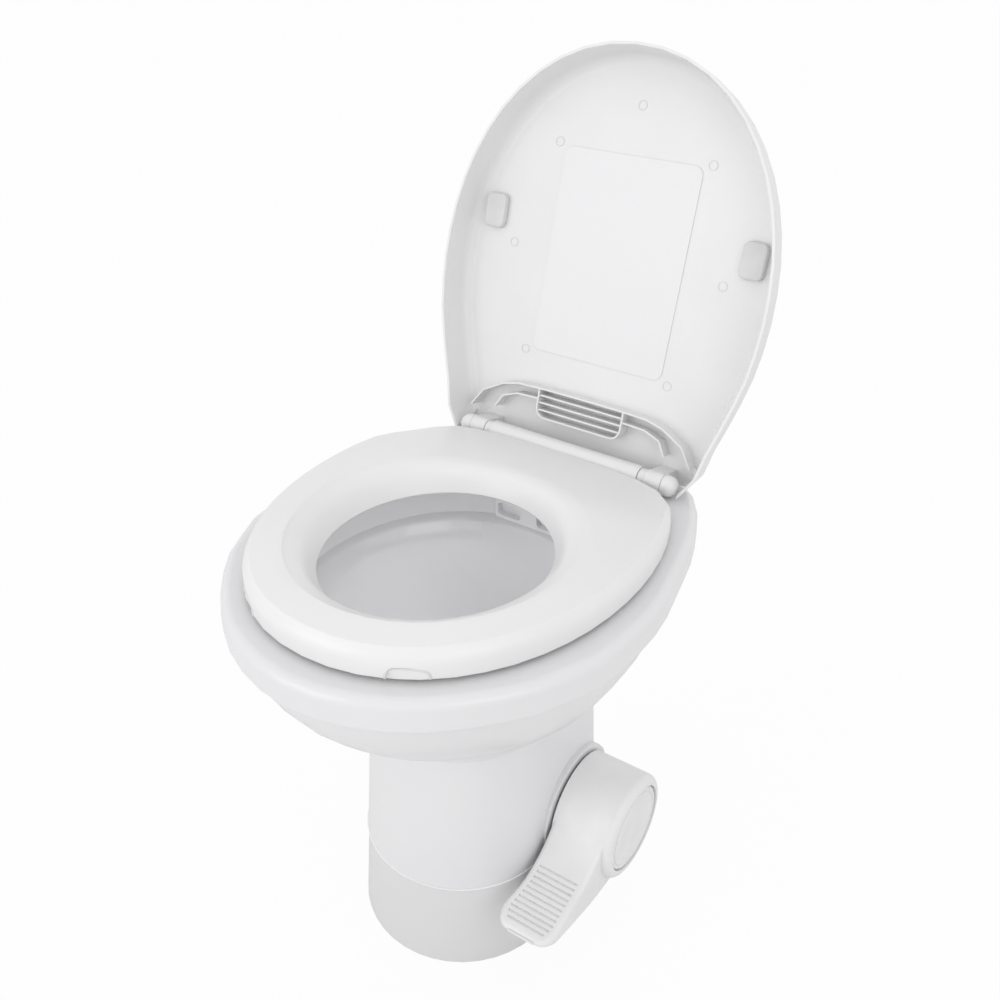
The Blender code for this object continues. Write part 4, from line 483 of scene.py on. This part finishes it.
SURFACES = {
    "shell_gloss": Surface(0.29, 0.36, 900.0, 0.00001, coat=0.3),
    "skirt_shaded_gloss": Surface(0.30, 0.38, 900.0, 0.00001),
    "lip_highlight_gloss": Surface(0.16, 0.24, 900.0, 0.00001),
    "seat_satin": Surface(0.29, 0.36, 900.0, 0.00001),
    "lid_satin": Surface(0.36, 0.46, 900.0, 0.00002),
    "bowl_lit_polish": Surface(0.10, 0.16, 600.0, 0.00001, coat=0.5),
    "pedal_matt": Surface(0.38, 0.52, 1400.0, 0.00006, clouds=22.0, wave=0.35),
    "blank_film": Surface(0.34, 0.42, 500.0, 0.00001),
    "soft_rubber": Surface(0.50, 0.65, 1600.0, 0.00005, clouds=30.0, wave=0.35),
    "fitting_black": Surface(0.34, 0.50, 1200.0, 0.00005, clouds=40.0, wave=0.35),
    "seal_black": Surface(0.62, 0.80, 1500.0, 0.00008, clouds=30.0, wave=0.35),
    "valve_grey": Surface(0.30, 0.42, 800.0, 0.00003, clouds=16.0, wave=0.35),
    "plated_steel": Surface(0.28, 0.42, 2200.0, 0.00002, clouds=60.0, wave=0.35, metallic=1.0),
}


# One material from the shared groups, with its own values
def paint(name, tone, shade):
    if name in bpy.data.materials:
        return bpy.data.materials[name]
    surface = SURFACES[name]
    mat = bpy.data.materials.new(name)
    mat.use_nodes = True
    tree = mat.node_tree
    shader = tree.nodes["Principled BSDF"]
    shader.inputs["Metallic"].default_value = surface.metallic
    shader.inputs["Coat Weight"].default_value = surface.coat
    shader.inputs["Coat Roughness"].default_value = surface.smooth / 2
    tones = {"Tone": (*tone, 1.0), "Shade": (*shade, 1.0), "Clouds": surface.clouds}
    colour = place_group(tree, tone_drift(), tones)
    shine = {"Smooth": surface.smooth, "Dull": surface.dull, "Patches": surface.clouds * PATCHES_PER_CLOUD}
    gloss = place_group(tree, polish_drift(), shine)
    touch = {"Grain": surface.grain, "Wave share": surface.wave}
    height = place_group(tree, moulding_grain(), touch)
    bump = tree.nodes.new("ShaderNodeBump")
    bump.inputs["Strength"].default_value = 1.0
    bump.inputs["Distance"].default_value = surface.depth
    tree.links.new(colour.outputs["Colour"], shader.inputs["Base Color"])
    tree.links.new(gloss.outputs["Roughness"], shader.inputs["Roughness"])
    tree.links.new(height.outputs["Height"], bump.inputs["Height"])
    tree.links.new(bump.outputs["Normal"], shader.inputs["Normal"])
    return mat


def shell_plastic():
    return paint("shell_gloss", finish().shell_white, finish().shell_shade)


def skirt_shaded_plastic():
    return paint("skirt_shaded_gloss", finish().skirt_shaded_white, finish().skirt_shade)


# The seam lip's paint: a painted highlight, brighter than the shell
def lip_highlight_plastic():
    return paint("lip_highlight_gloss", finish().lip_highlight_white, finish().shell_white)


def seat_plastic():
    return paint("seat_satin", finish().seat_white, finish().seat_shade)


def lid_plastic():
    return paint("lid_satin", finish().seat_white, finish().seat_shade)


def bowl_lit_plastic():
    return paint("bowl_lit_polish", finish().bowl_lit_white, finish().bowl_shade)


def pedal_plastic():
    return paint("pedal_matt", finish().pedal_white, finish().pedal_shade)


def sheet_film():
    return paint("blank_film", finish().sheet_white, finish().sheet_white)


def soft_rubber():
    return paint("soft_rubber", finish().soft_white_and_notch_shade, finish().soft_shade)


def black_plastic():
    return paint("fitting_black", finish().black, finish().black_shade)


def black_rubber():
    return paint("seal_black", finish().black, finish().black_shade)


def valve_plastic():
    return paint("valve_grey", finish().valve_grey, finish().valve_shade)


def plated_steel():
    return paint("plated_steel", finish().steel, finish().steel_shade)


# A finished copy of a CAD node: merged, its edges rounded and its faces shaded smooth
def moulded(name, node, mat, rounding):
    bm = bmesh.new()
    bm.from_mesh(frame["nodes"][node].data)
    bmesh.ops.remove_doubles(bm, verts=bm.verts, dist=MERGE)
    bmesh.ops.dissolve_limit(bm, angle_limit=math.radians(FLAT_deg), verts=bm.verts, edges=bm.edges)
    mesh = bpy.data.meshes.new(name)
    bm.to_mesh(mesh)
    bm.free()
    piece = bpy.data.objects.new(name, mesh)
    bpy.context.scene.collection.objects.link(piece)
    mesh.materials.clear()
    mesh.materials.append(mat)
    edge = piece.modifiers.new("edge", "BEVEL")
    edge.width = rounding
    edge.segments = ROUND_STEPS
    edge.limit_method = "ANGLE"
    edge.angle_limit = math.radians(ROUND_FROM_deg)
    edge.use_clamp_overlap = True
    bake(piece)
    piece.data.shade_smooth()
    piece.data.set_sharp_from_angle(angle=math.radians(SHARP_FROM_deg))
    even = piece.modifiers.new("even", "WEIGHTED_NORMAL")
    even.keep_sharp = True
    bake(piece)
    stand_for(piece, node)
    return piece


# A node's faces, ready for rays to be cast at them
def faces_of(node):
    mesh = frame["nodes"][node].data
    return BVHTree.FromPolygons([v.co for v in mesh.vertices], [p.vertices for p in mesh.polygons])


# A node's outer line at one height, at even turns round its middle
def outline_at(node, height, steps):
    solid = faces_of(node)
    low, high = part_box(node)
    middle = (low + high) / 2
    far = (high - low).length
    points = []
    for k in range(steps):
        turn = math.tau * k / steps
        out = Vector((math.cos(turn), math.sin(turn), 0.0))
        start = Vector((middle.x, middle.y, height)) + out * far
        points.append(solid.ray_cast(start, -out)[0])
    return points


# Replace an object's mesh by what its modifiers make of it
def bake(piece):
    bpy.context.view_layer.update()
    graph = bpy.context.evaluated_depsgraph_get()
    mesh = bpy.data.meshes.new_from_object(piece.evaluated_get(graph))
    piece.modifiers.clear()
    piece.data = mesh
    mesh.name = piece.name


# Let a piece move with a CAD node's body and take the node's place, the node hidden
def stand_for(piece, node):
    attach(piece, frame["nodes"][node]["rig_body"])
    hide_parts(node)


# Give CAD nodes that stay in view their material
def coat(mat, *nodes):
    for node in nodes:
        mesh = frame["nodes"][node].data
        mesh.materials.clear()
        mesh.materials.append(mat)


# A geometry tree with named inputs, and its first and last nodes
def geometry_tree(name, inputs):
    tree = bpy.data.node_groups.new(name, "GeometryNodeTree")
    for label, kind in inputs:
        tree.interface.new_socket(name=label, in_out="INPUT", socket_type=kind)
    tree.interface.new_socket(name="Geometry", in_out="OUTPUT", socket_type="NodeSocketGeometry")
    return tree, tree.nodes.new("NodeGroupInput"), tree.nodes.new("NodeGroupOutput")


# Put the geometry in place before the closing nodes
def close_tree(tree, start, end, geometry):
    move = tree.nodes.new("GeometryNodeTransform")
    tree.links.new(geometry, move.inputs["Geometry"])
    tree.links.new(start.outputs["Place"], move.inputs["Translation"])
    tree.links.new(start.outputs["Turn"], move.inputs["Rotation"])
    paint_and_end(tree, start, end, move.outputs["Geometry"])


# The closing nodes: make real, shade smooth and paint
def paint_and_end(tree, start, end, geometry):
    real = tree.nodes.new("GeometryNodeRealizeInstances")
    smooth = tree.nodes.new("GeometryNodeSetShadeSmooth")
    coat_node = tree.nodes.new("GeometryNodeSetMaterial")
    tree.links.new(geometry, real.inputs["Geometry"])
    tree.links.new(real.outputs["Geometry"], smooth.inputs["Geometry"])
    tree.links.new(smooth.outputs["Geometry"], coat_node.inputs["Geometry"])
    tree.links.new(start.outputs["Finish"], coat_node.inputs["Material"])
    tree.links.new(coat_node.outputs["Geometry"], end.inputs["Geometry"])


# Inputs of the trees that put their geometry in place
CLOSING_INPUTS = (
    ("Place", "NodeSocketVector"),
    ("Turn", "NodeSocketRotation"),
    ("Finish", "NodeSocketMaterial"),
)


# A round bead swept along a curve
def bead_along(tree, curve, radius, sides):
    profile = tree.nodes.new("GeometryNodeCurvePrimitiveCircle")
    profile.inputs["Resolution"].default_value = sides
    sweep = tree.nodes.new("GeometryNodeCurveToMesh")
    sweep.inputs["Fill Caps"].default_value = True
    tree.links.new(radius, profile.inputs["Radius"])
    tree.links.new(curve, sweep.inputs["Curve"])
    tree.links.new(profile.outputs["Curve"], sweep.inputs["Profile Curve"])
    return sweep.outputs["Mesh"]


# A screw thread: a bead wound on a cylinder
def thread_tree():
    if "screw_thread" in bpy.data.node_groups:
        return bpy.data.node_groups["screw_thread"]
    inputs = (
        ("Radius", "NodeSocketFloat"),
        ("Length", "NodeSocketFloat"),
        ("Pitch", "NodeSocketFloat"),
        ("Bead", "NodeSocketFloat"),
    )
    tree, start, end = geometry_tree("screw_thread", inputs + CLOSING_INPUTS)
    turns = tree.nodes.new("ShaderNodeMath")
    turns.operation = "DIVIDE"
    wind = tree.nodes.new("GeometryNodeCurveSpiral")
    wind.inputs["Resolution"].default_value = THREAD_STEPS
    tree.links.new(start.outputs["Length"], turns.inputs[0])
    tree.links.new(start.outputs["Pitch"], turns.inputs[1])
    tree.links.new(turns.outputs[0], wind.inputs["Rotations"])
    tree.links.new(start.outputs["Radius"], wind.inputs["Start Radius"])
    tree.links.new(start.outputs["Radius"], wind.inputs["End Radius"])
    tree.links.new(start.outputs["Length"], wind.inputs["Height"])
    thread = bead_along(tree, wind.outputs["Curve"], start.outputs["Bead"], THREAD_SIDES)
    close_tree(tree, start, end, thread)
    return tree


# Small rings set on an ellipse
def ring_tree():
    if "ring_marks" in bpy.data.node_groups:
        return bpy.data.node_groups["ring_marks"]
    inputs = (
        ("Count", "NodeSocketInt"),
        ("Half Width", "NodeSocketFloat"),
        ("Half Length", "NodeSocketFloat"),
        ("Ring Radius", "NodeSocketFloat"),
        ("Bead", "NodeSocketFloat"),
    )
    tree, start, end = geometry_tree("ring_marks", inputs + CLOSING_INPUTS)
    spots = tree.nodes.new("GeometryNodeMeshCircle")
    spots.inputs["Radius"].default_value = 1.0
    spread = tree.nodes.new("ShaderNodeCombineXYZ")
    spread.inputs["Z"].default_value = 1.0
    stretch = tree.nodes.new("GeometryNodeTransform")
    ring = tree.nodes.new("GeometryNodeCurvePrimitiveCircle")
    ring.inputs["Resolution"].default_value = RING_STEPS
    plant = tree.nodes.new("GeometryNodeInstanceOnPoints")
    tree.links.new(start.outputs["Count"], spots.inputs["Vertices"])
    tree.links.new(start.outputs["Half Width"], spread.inputs["X"])
    tree.links.new(start.outputs["Half Length"], spread.inputs["Y"])
    tree.links.new(spots.outputs["Mesh"], stretch.inputs["Geometry"])
    tree.links.new(spread.outputs["Vector"], stretch.inputs["Scale"])
    tree.links.new(start.outputs["Ring Radius"], ring.inputs["Radius"])
    bead = bead_along(tree, ring.outputs["Curve"], start.outputs["Bead"], RING_SIDES)
    tree.links.new(stretch.outputs["Geometry"], plant.inputs["Points"])
    tree.links.new(bead, plant.inputs["Instance"])
    close_tree(tree, start, end, plant.outputs["Instances"])
    return tree


# A bead that follows the edges of the object it is on
def path_tree():
    if "path_bead" in bpy.data.node_groups:
        return bpy.data.node_groups["path_bead"]
    inputs = (
        ("Geometry", "NodeSocketGeometry"),
        ("Bead", "NodeSocketFloat"),
        ("Finish", "NodeSocketMaterial"),
    )
    tree, start, end = geometry_tree("path_bead", inputs)
    path = tree.nodes.new("GeometryNodeMeshToCurve")
    tree.links.new(start.outputs["Geometry"], path.inputs["Mesh"])
    bead = bead_along(tree, path.outputs["Curve"], start.outputs["Bead"], PATH_SIDES)
    paint_and_end(tree, start, end, bead)
    return tree


# Run a geometry tree with the values given, and keep its result as a plain mesh
def grown(name, tree, body, values, points=(), closed=True):
    mesh = bpy.data.meshes.new(name)
    count = len(points) if closed else len(points) - 1
    edges = [(k, (k + 1) % len(points)) for k in range(count)]
    mesh.from_pydata(points, edges, [])
    piece = bpy.data.objects.new(name, mesh)
    bpy.context.scene.collection.objects.link(piece)
    modifier = piece.modifiers.new("grow", "NODES")
    modifier.node_group = tree
    for item in tree.interface.items_tree:
        if item.in_out == "INPUT" and item.name in values:
            modifier[item.identifier] = values[item.name]
    bake(piece)
    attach(piece, body)
    return piece


# The arch of one finger notch, laid on the seat's outer face
def notch_arch(s, side):
    solid = faces_of("seat_ring")
    along = Vector((side * math.cos(s.notch_turn), math.sin(s.notch_turn), 0.0))
    out = Vector((side * math.sin(s.notch_turn), -math.cos(s.notch_turn), 0.0))
    foot = Vector((side * s.notch_x, s.notch_y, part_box("seat_ring")[0].z))
    points = []
    for k in range(ARCH_STEPS + 1):
        turn = math.pi * k / ARCH_STEPS
        across = s.notch_half * math.copysign(abs(math.cos(turn)) ** s.notch_square, math.cos(turn))
        rise = s.notch_rise * math.sin(turn) ** s.notch_square
        start = foot + along * across + Vector((0.0, 0.0, rise)) + out * s.notch_half
        hit = solid.ray_cast(start, -out, s.notch_half * 2)[0]
        if hit is not None:
            points.append(hit)
    return points


class TOILET_OT_pedestal(bpy.types.Operator):
    """Lower skirt and upper shell of the pedestal"""

    bl_idname = "toilet.pedestal"
    bl_label = "Pedestal"

    def execute(self, context):
        rounding = sizes().shell_round
        # The lower skirt's greyer paint is painted shade under the seam and pedal
        moulded("lower_skirt", "base_skirt", skirt_shaded_plastic(), rounding)
        moulded("pedestal_moulding", "pedestal_shell", shell_plastic(), rounding)
        # The seam lip is a real bead; its brighter paint is a painted highlight
        values = {"Bead": sizes().seam_bead, "Finish": lip_highlight_plastic()}
        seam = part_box("base_skirt")[1].z + sizes().seam_bead
        line = outline_at("pedestal_shell", seam, SEAM_STEPS)
        grown("seam_lip", path_tree(), "stand", values, line)
        return {"FINISHED"}


class TOILET_OT_bowl(bpy.types.Operator):
    """Outer bowl, rim band, inner bowl and rinse nozzle"""

    bl_idname = "toilet.bowl"
    bl_label = "Bowl"

    def execute(self, context):
        rounding = sizes().shell_round
        moulded("outer_bowl", "bowl_skirt", shell_plastic(), rounding)
        moulded("rim_moulding", "rim_cover", shell_plastic(), rounding)
        # Inner bowl and nozzle take the bowl's brighter paint, which is painted light
        moulded("inner_bowl", "bowl_liner", bowl_lit_plastic(), rounding)
        moulded("rinse_nozzle", "rinse_spout", bowl_lit_plastic(), sizes().small_round)
        return {"FINISHED"}


class TOILET_OT_seat(bpy.types.Operator):
    """Seat with its four soft feet"""

    bl_idname = "toilet.seat"
    bl_label = "Seat"

    def execute(self, context):
        moulded("seat_moulding", "seat_ring", seat_plastic(), sizes().seat_round)
        for where in ("front", "rear"):
            for side in ("left", "right"):
                label = "%s_%s" % (where, side)
                moulded("seat_foot_" + label, "seat_bumper_" + label, soft_rubber(), sizes().small_round)
        # The notch edges take the feet's grey, as painted shade along the finger notches' edges
        values = {"Bead": sizes().notch_bead, "Finish": soft_rubber()}
        for side, label in ((-1, "left"), (1, "right")):
            arch = notch_arch(sizes(), side)
            grown("notch_edge_" + label, path_tree(), "seat", values, arch, closed=False)
        return {"FINISHED"}


class TOILET_OT_lid(bpy.types.Operator):
    """Lid with its stops, blank sheet and ejector marks"""

    bl_idname = "toilet.lid"
    bl_label = "Lid"

    def execute(self, context):
        s = sizes()
        moulded("lid_moulding", "lid", lid_plastic(), s.seat_round)
        moulded("blank_sheet", "lid_label", sheet_film(), s.sheet_round)
        for side in ("left", "right"):
            moulded("lid_stop_" + side, "lid_bumper_" + side, soft_rubber(), s.seat_round)
        middle = (LABEL_LOW + LABEL_HIGH) / 2
        values = {
            "Count": s.mark_count,
            "Half Width": s.mark_half_width,
            "Half Length": s.mark_half_length,
            "Ring Radius": s.mark_radius,
            "Bead": s.mark_bead,
            "Place": middle,
            "Turn": Matrix.Rotation(math.pi - LID_OPEN_rad, 3, "X").to_euler(),
            "Finish": lid_plastic(),
        }
        grown("ejector_marks", ring_tree(), "cover", values)
        return {"FINISHED"}


class TOILET_OT_hinge(bpy.types.Operator):
    """Hinge brackets and end caps, with their pins and nuts"""

    bl_idname = "toilet.hinge"
    bl_label = "Hinge"

    def execute(self, context):
        for side in ("left", "right"):
            moulded("hinge_bracket_" + side, "hinge_post_" + side, seat_plastic(), sizes().small_round)
            moulded("hinge_end_" + side, "hinge_cap_" + side, seat_plastic(), sizes().small_round)
            coat(plated_steel(), "hinge_pin_" + side)
            coat(soft_rubber(), "hinge_nut_" + side)
        return {"FINISHED"}


class TOILET_OT_pedal(bpy.types.Operator):
    """Foot pedal, its cover with a raised bead, and the screw behind it"""

    bl_idname = "toilet.pedal"
    bl_label = "Pedal"

    def execute(self, context):
        s = sizes()
        moulded("pedal_moulding", "pedal", pedal_plastic(), s.small_round)
        moulded("pedal_cover", "pedal_cap", pedal_plastic(), s.small_round)
        coat(plated_steel(), "pedal_screw")
        middle = (CAP_LOW + CAP_HIGH) / 2
        radius = (CAP_HIGH.z - CAP_LOW.z) / 2 - s.cover_inset
        points = []
        for k in range(COVER_STEPS):
            turn = math.tau * k / COVER_STEPS
            spoke = Vector((0.0, math.cos(turn), math.sin(turn)))
            points.append(Vector((CAP_HIGH.x, middle.y, middle.z)) + spoke * radius)
        values = {"Bead": s.cover_bead, "Finish": pedal_plastic()}
        grown("cover_bead", path_tree(), "pedal_group", values, points)
        return {"FINISHED"}


class TOILET_OT_flush_parts(bpy.types.Operator):
    """Flush chamber, blade, shaft and spring inside the pedestal"""

    bl_idname = "toilet.flush_parts"
    bl_label = "Flush parts"

    def execute(self, context):
        coat(valve_plastic(), "valve_body", "shaft_bush")
        # The flush valve shares the bowl's brighter paint, which is painted light
        coat(bowl_lit_plastic(), "flush_valve")
        coat(plated_steel(), "pedal_shaft", "pivot_pin", "return_spring", "push_rod")
        coat(black_rubber(), "outlet_seal")
        return {"FINISHED"}


class TOILET_OT_water_parts(bpy.types.Operator):
    """Water valve, swivel nut, vacuum breaker and their hoses"""

    bl_idname = "toilet.water_parts"
    bl_label = "Water parts"

    def execute(self, context):
        s = sizes()
        coat(black_plastic(), "water_valve", "breaker_body")
        coat(valve_plastic(), "breaker_poppet")
        coat(black_rubber(), "supply_tube", "rinse_tube")
        moulded("swivel_nut_moulding", "inlet_nut", black_plastic(), s.small_round)
        return {"FINISHED"}


class TOILET_OT_floor_parts(bpy.types.Operator):
    """Floor bolts with their threads, nuts and gasket"""

    bl_idname = "toilet.floor_parts"
    bl_label = "Floor parts"

    def execute(self, context):
        s = sizes()
        coat(black_rubber(), "floor_gasket")
        for side in ("left", "right"):
            coat(plated_steel(), "floor_bolt_" + side, "floor_nut_" + side)
            low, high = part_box("floor_bolt_" + side)
            middle = (low + high) / 2
            values = {
                "Radius": s.bolt_radius,
                "Length": high.z - low.z - s.bolt_bare - s.bolt_pitch,
                "Pitch": s.bolt_pitch,
                "Bead": s.bolt_pitch / PITCH_PER_BEAD,
                "Place": (middle.x, middle.y, low.z + s.bolt_bare),
                "Turn": (0.0, 0.0, 0.0),
                "Finish": plated_steel(),
            }
            grown("bolt_thread_" + side, thread_tree(), "stand", values)
        return {"FINISHED"}


class TOILET_OT_studio(bpy.types.Operator):
    """Floor, sky, lamps and camera"""

    bl_idname = "toilet.studio"
    bl_label = "Studio"

    def execute(self, context):
        s = studio()
        floor = floor_piece(s.floor_half)
        floor.data.materials.append(floor_paint(s.floor_tone, s.floor_glow))
        light_sky(s.sky)
        panel_lamp("key_lamp", s.key_place, s.key_side, s.key_watts)
        panel_lamp("fill_lamp", s.fill_place, s.fill_side, s.fill_watts)
        bowl_lamp(s)
        place_camera(s)
        context.scene.view_settings.view_transform = "Standard"
        return {"FINISHED"}


# One flat square for the floor
def floor_piece(half):
    bm = bmesh.new()
    bmesh.ops.create_grid(bm, x_segments=1, y_segments=1, size=half)
    mesh = bpy.data.meshes.new("studio_floor")
    bm.to_mesh(mesh)
    bm.free()
    floor = bpy.data.objects.new("studio_floor", mesh)
    bpy.context.scene.collection.objects.link(floor)
    return floor


# The camera sees the floor as nearly plain white, with the object's shadow left in
def floor_paint(tone, glow):
    mat = bpy.data.materials.new("studio_floor")
    mat.use_nodes = True
    tree = mat.node_tree
    shader = tree.nodes["Principled BSDF"]
    shader.inputs["Base Color"].default_value = (*tone, 1.0)
    shader.inputs["Roughness"].default_value = FLOOR_ROUGH
    shader.inputs["Specular IOR Level"].default_value = 0.0
    white = tree.nodes.new("ShaderNodeEmission")
    white.inputs["Color"].default_value = (1.0, 1.0, 1.0, 1.0)
    path = tree.nodes.new("ShaderNodeLightPath")
    share = tree.nodes.new("ShaderNodeMath")
    share.operation = "MULTIPLY"
    share.inputs[1].default_value = glow
    blend = tree.nodes.new("ShaderNodeMixShader")
    tree.links.new(path.outputs["Is Camera Ray"], share.inputs[0])
    tree.links.new(share.outputs[0], blend.inputs["Fac"])
    tree.links.new(shader.outputs["BSDF"], blend.inputs[1])
    tree.links.new(white.outputs["Emission"], blend.inputs[2])
    tree.links.new(blend.outputs["Shader"], tree.nodes["Material Output"].inputs["Surface"])
    return mat


# Plain white where the sky is seen, and of the set strength where it only lights
def light_sky(strength):
    world = bpy.data.worlds.new("studio_sky")
    bpy.context.scene.world = world
    world.use_nodes = True
    tree = world.node_tree
    sky = tree.nodes["Background"]
    sky.inputs["Color"].default_value = (1.0, 1.0, 1.0, 1.0)
    path = tree.nodes.new("ShaderNodeLightPath")
    seen = tree.nodes.new("ShaderNodeMath")
    seen.operation = "MAXIMUM"
    through = tree.nodes.new("ShaderNodeMath")
    through.operation = "MAXIMUM"
    span = tree.nodes.new("ShaderNodeMapRange")
    span.inputs["To Min"].default_value = strength
    span.inputs["To Max"].default_value = 1.0
    tree.links.new(path.outputs["Is Camera Ray"], seen.inputs[0])
    tree.links.new(path.outputs["Is Glossy Ray"], seen.inputs[1])
    tree.links.new(seen.outputs[0], through.inputs[0])
    tree.links.new(path.outputs["Is Transmission Ray"], through.inputs[1])
    tree.links.new(through.outputs[0], span.inputs["Value"])
    tree.links.new(span.outputs["Result"], sky.inputs["Strength"])


# Hang a lamp at its place, turned to shine at a target
def hang(data, place, target):
    holder = bpy.data.objects.new(data.name, data)
    bpy.context.scene.collection.objects.link(holder)
    holder.location = place
    holder.rotation_euler = (Vector(place) - Vector(target)).to_track_quat("Z", "Y").to_euler()


# A square panel that shines at the middle of the toilet
def panel_lamp(name, place, side, watts):
    data = bpy.data.lights.new(name, "AREA")
    data.shape = "SQUARE"
    data.size = side
    data.energy = watts
    hang(data, place, (0.0, 0.0, AIM_Z))


# A soft spot that shines through the seat's hole into the bowl
def bowl_lamp(s):
    data = bpy.data.lights.new("bowl_lamp", "SPOT")
    data.energy = s.bowl_watts
    data.shadow_soft_size = s.bowl_glass
    data.spot_size = s.bowl_cone
    data.spot_blend = s.bowl_fade
    hang(data, s.bowl_place, (0.0, s.bowl_aim, AIM_Z))


# The camera of the photo's view, from its two angles, roll and place
def place_camera(s):
    back = Vector((
        math.sin(s.azimuth) * math.cos(s.elevation),
        -math.cos(s.azimuth) * math.cos(s.elevation),
        math.sin(s.elevation),
    ))
    right = Vector((math.cos(s.azimuth), math.sin(s.azimuth), 0.0))
    up = back.cross(right)
    side = math.cos(s.roll) * right + math.sin(s.roll) * up
    head = math.cos(s.roll) * up - math.sin(s.roll) * right
    turn = Matrix((side, head, back)).transposed().to_4x4()
    data = bpy.data.cameras.new("camera")
    data.lens = s.lens
    data.sensor_width = s.sensor
    camera = bpy.data.objects.new("camera", data)
    bpy.context.scene.collection.objects.link(camera)
    camera.matrix_world = Matrix.Translation(Vector(s.place)) @ turn
    bpy.context.scene.camera = camera


class TOILET_PT_panel(bpy.types.Panel):
    """Sizes, finishes and pieces of the toilet"""

    bl_label = "Toilet"
    bl_idname = "TOILET_PT_panel"
    bl_space_type = "VIEW_3D"
    bl_region_type = "UI"
    bl_category = "Toilet"

    def draw(self, context):
        for group in (finish(), sizes(), studio()):
            box = self.layout.box()
            for label in group.__annotations__:
                box.prop(group, label)
        for operator in OPERATORS:
            self.layout.operator(operator.bl_idname)


GROUPS = (ToiletFinish, ToiletSizes, ToiletStudio)
OPERATORS = (
    TOILET_OT_studio,
    TOILET_OT_pedestal,
    TOILET_OT_bowl,
    TOILET_OT_seat,
    TOILET_OT_lid,
    TOILET_OT_hinge,
    TOILET_OT_pedal,
    TOILET_OT_flush_parts,
    TOILET_OT_water_parts,
    TOILET_OT_floor_parts,
)


def register():
    for group in GROUPS + OPERATORS + (TOILET_PT_panel,):
        bpy.utils.register_class(group)
    bpy.types.Scene.toilet_finish = PointerProperty(type=ToiletFinish)
    bpy.types.Scene.toilet_sizes = PointerProperty(type=ToiletSizes)
    bpy.types.Scene.toilet_studio = PointerProperty(type=ToiletStudio)


def unregister():
    del bpy.types.Scene.toilet_studio
    del bpy.types.Scene.toilet_sizes
    del bpy.types.Scene.toilet_finish
    for group in reversed(GROUPS + OPERATORS + (TOILET_PT_panel,)):
        bpy.utils.unregister_class(group)


def main():
    register()
    bpy.ops.toilet.studio()
    bpy.ops.toilet.pedestal()
    bpy.ops.toilet.bowl()
    bpy.ops.toilet.seat()
    bpy.ops.toilet.lid()
    bpy.ops.toilet.hinge()
    bpy.ops.toilet.pedal()
    bpy.ops.toilet.flush_parts()
    bpy.ops.toilet.water_parts()
    bpy.ops.toilet.floor_parts()


if __name__ == "__main__":
    main()
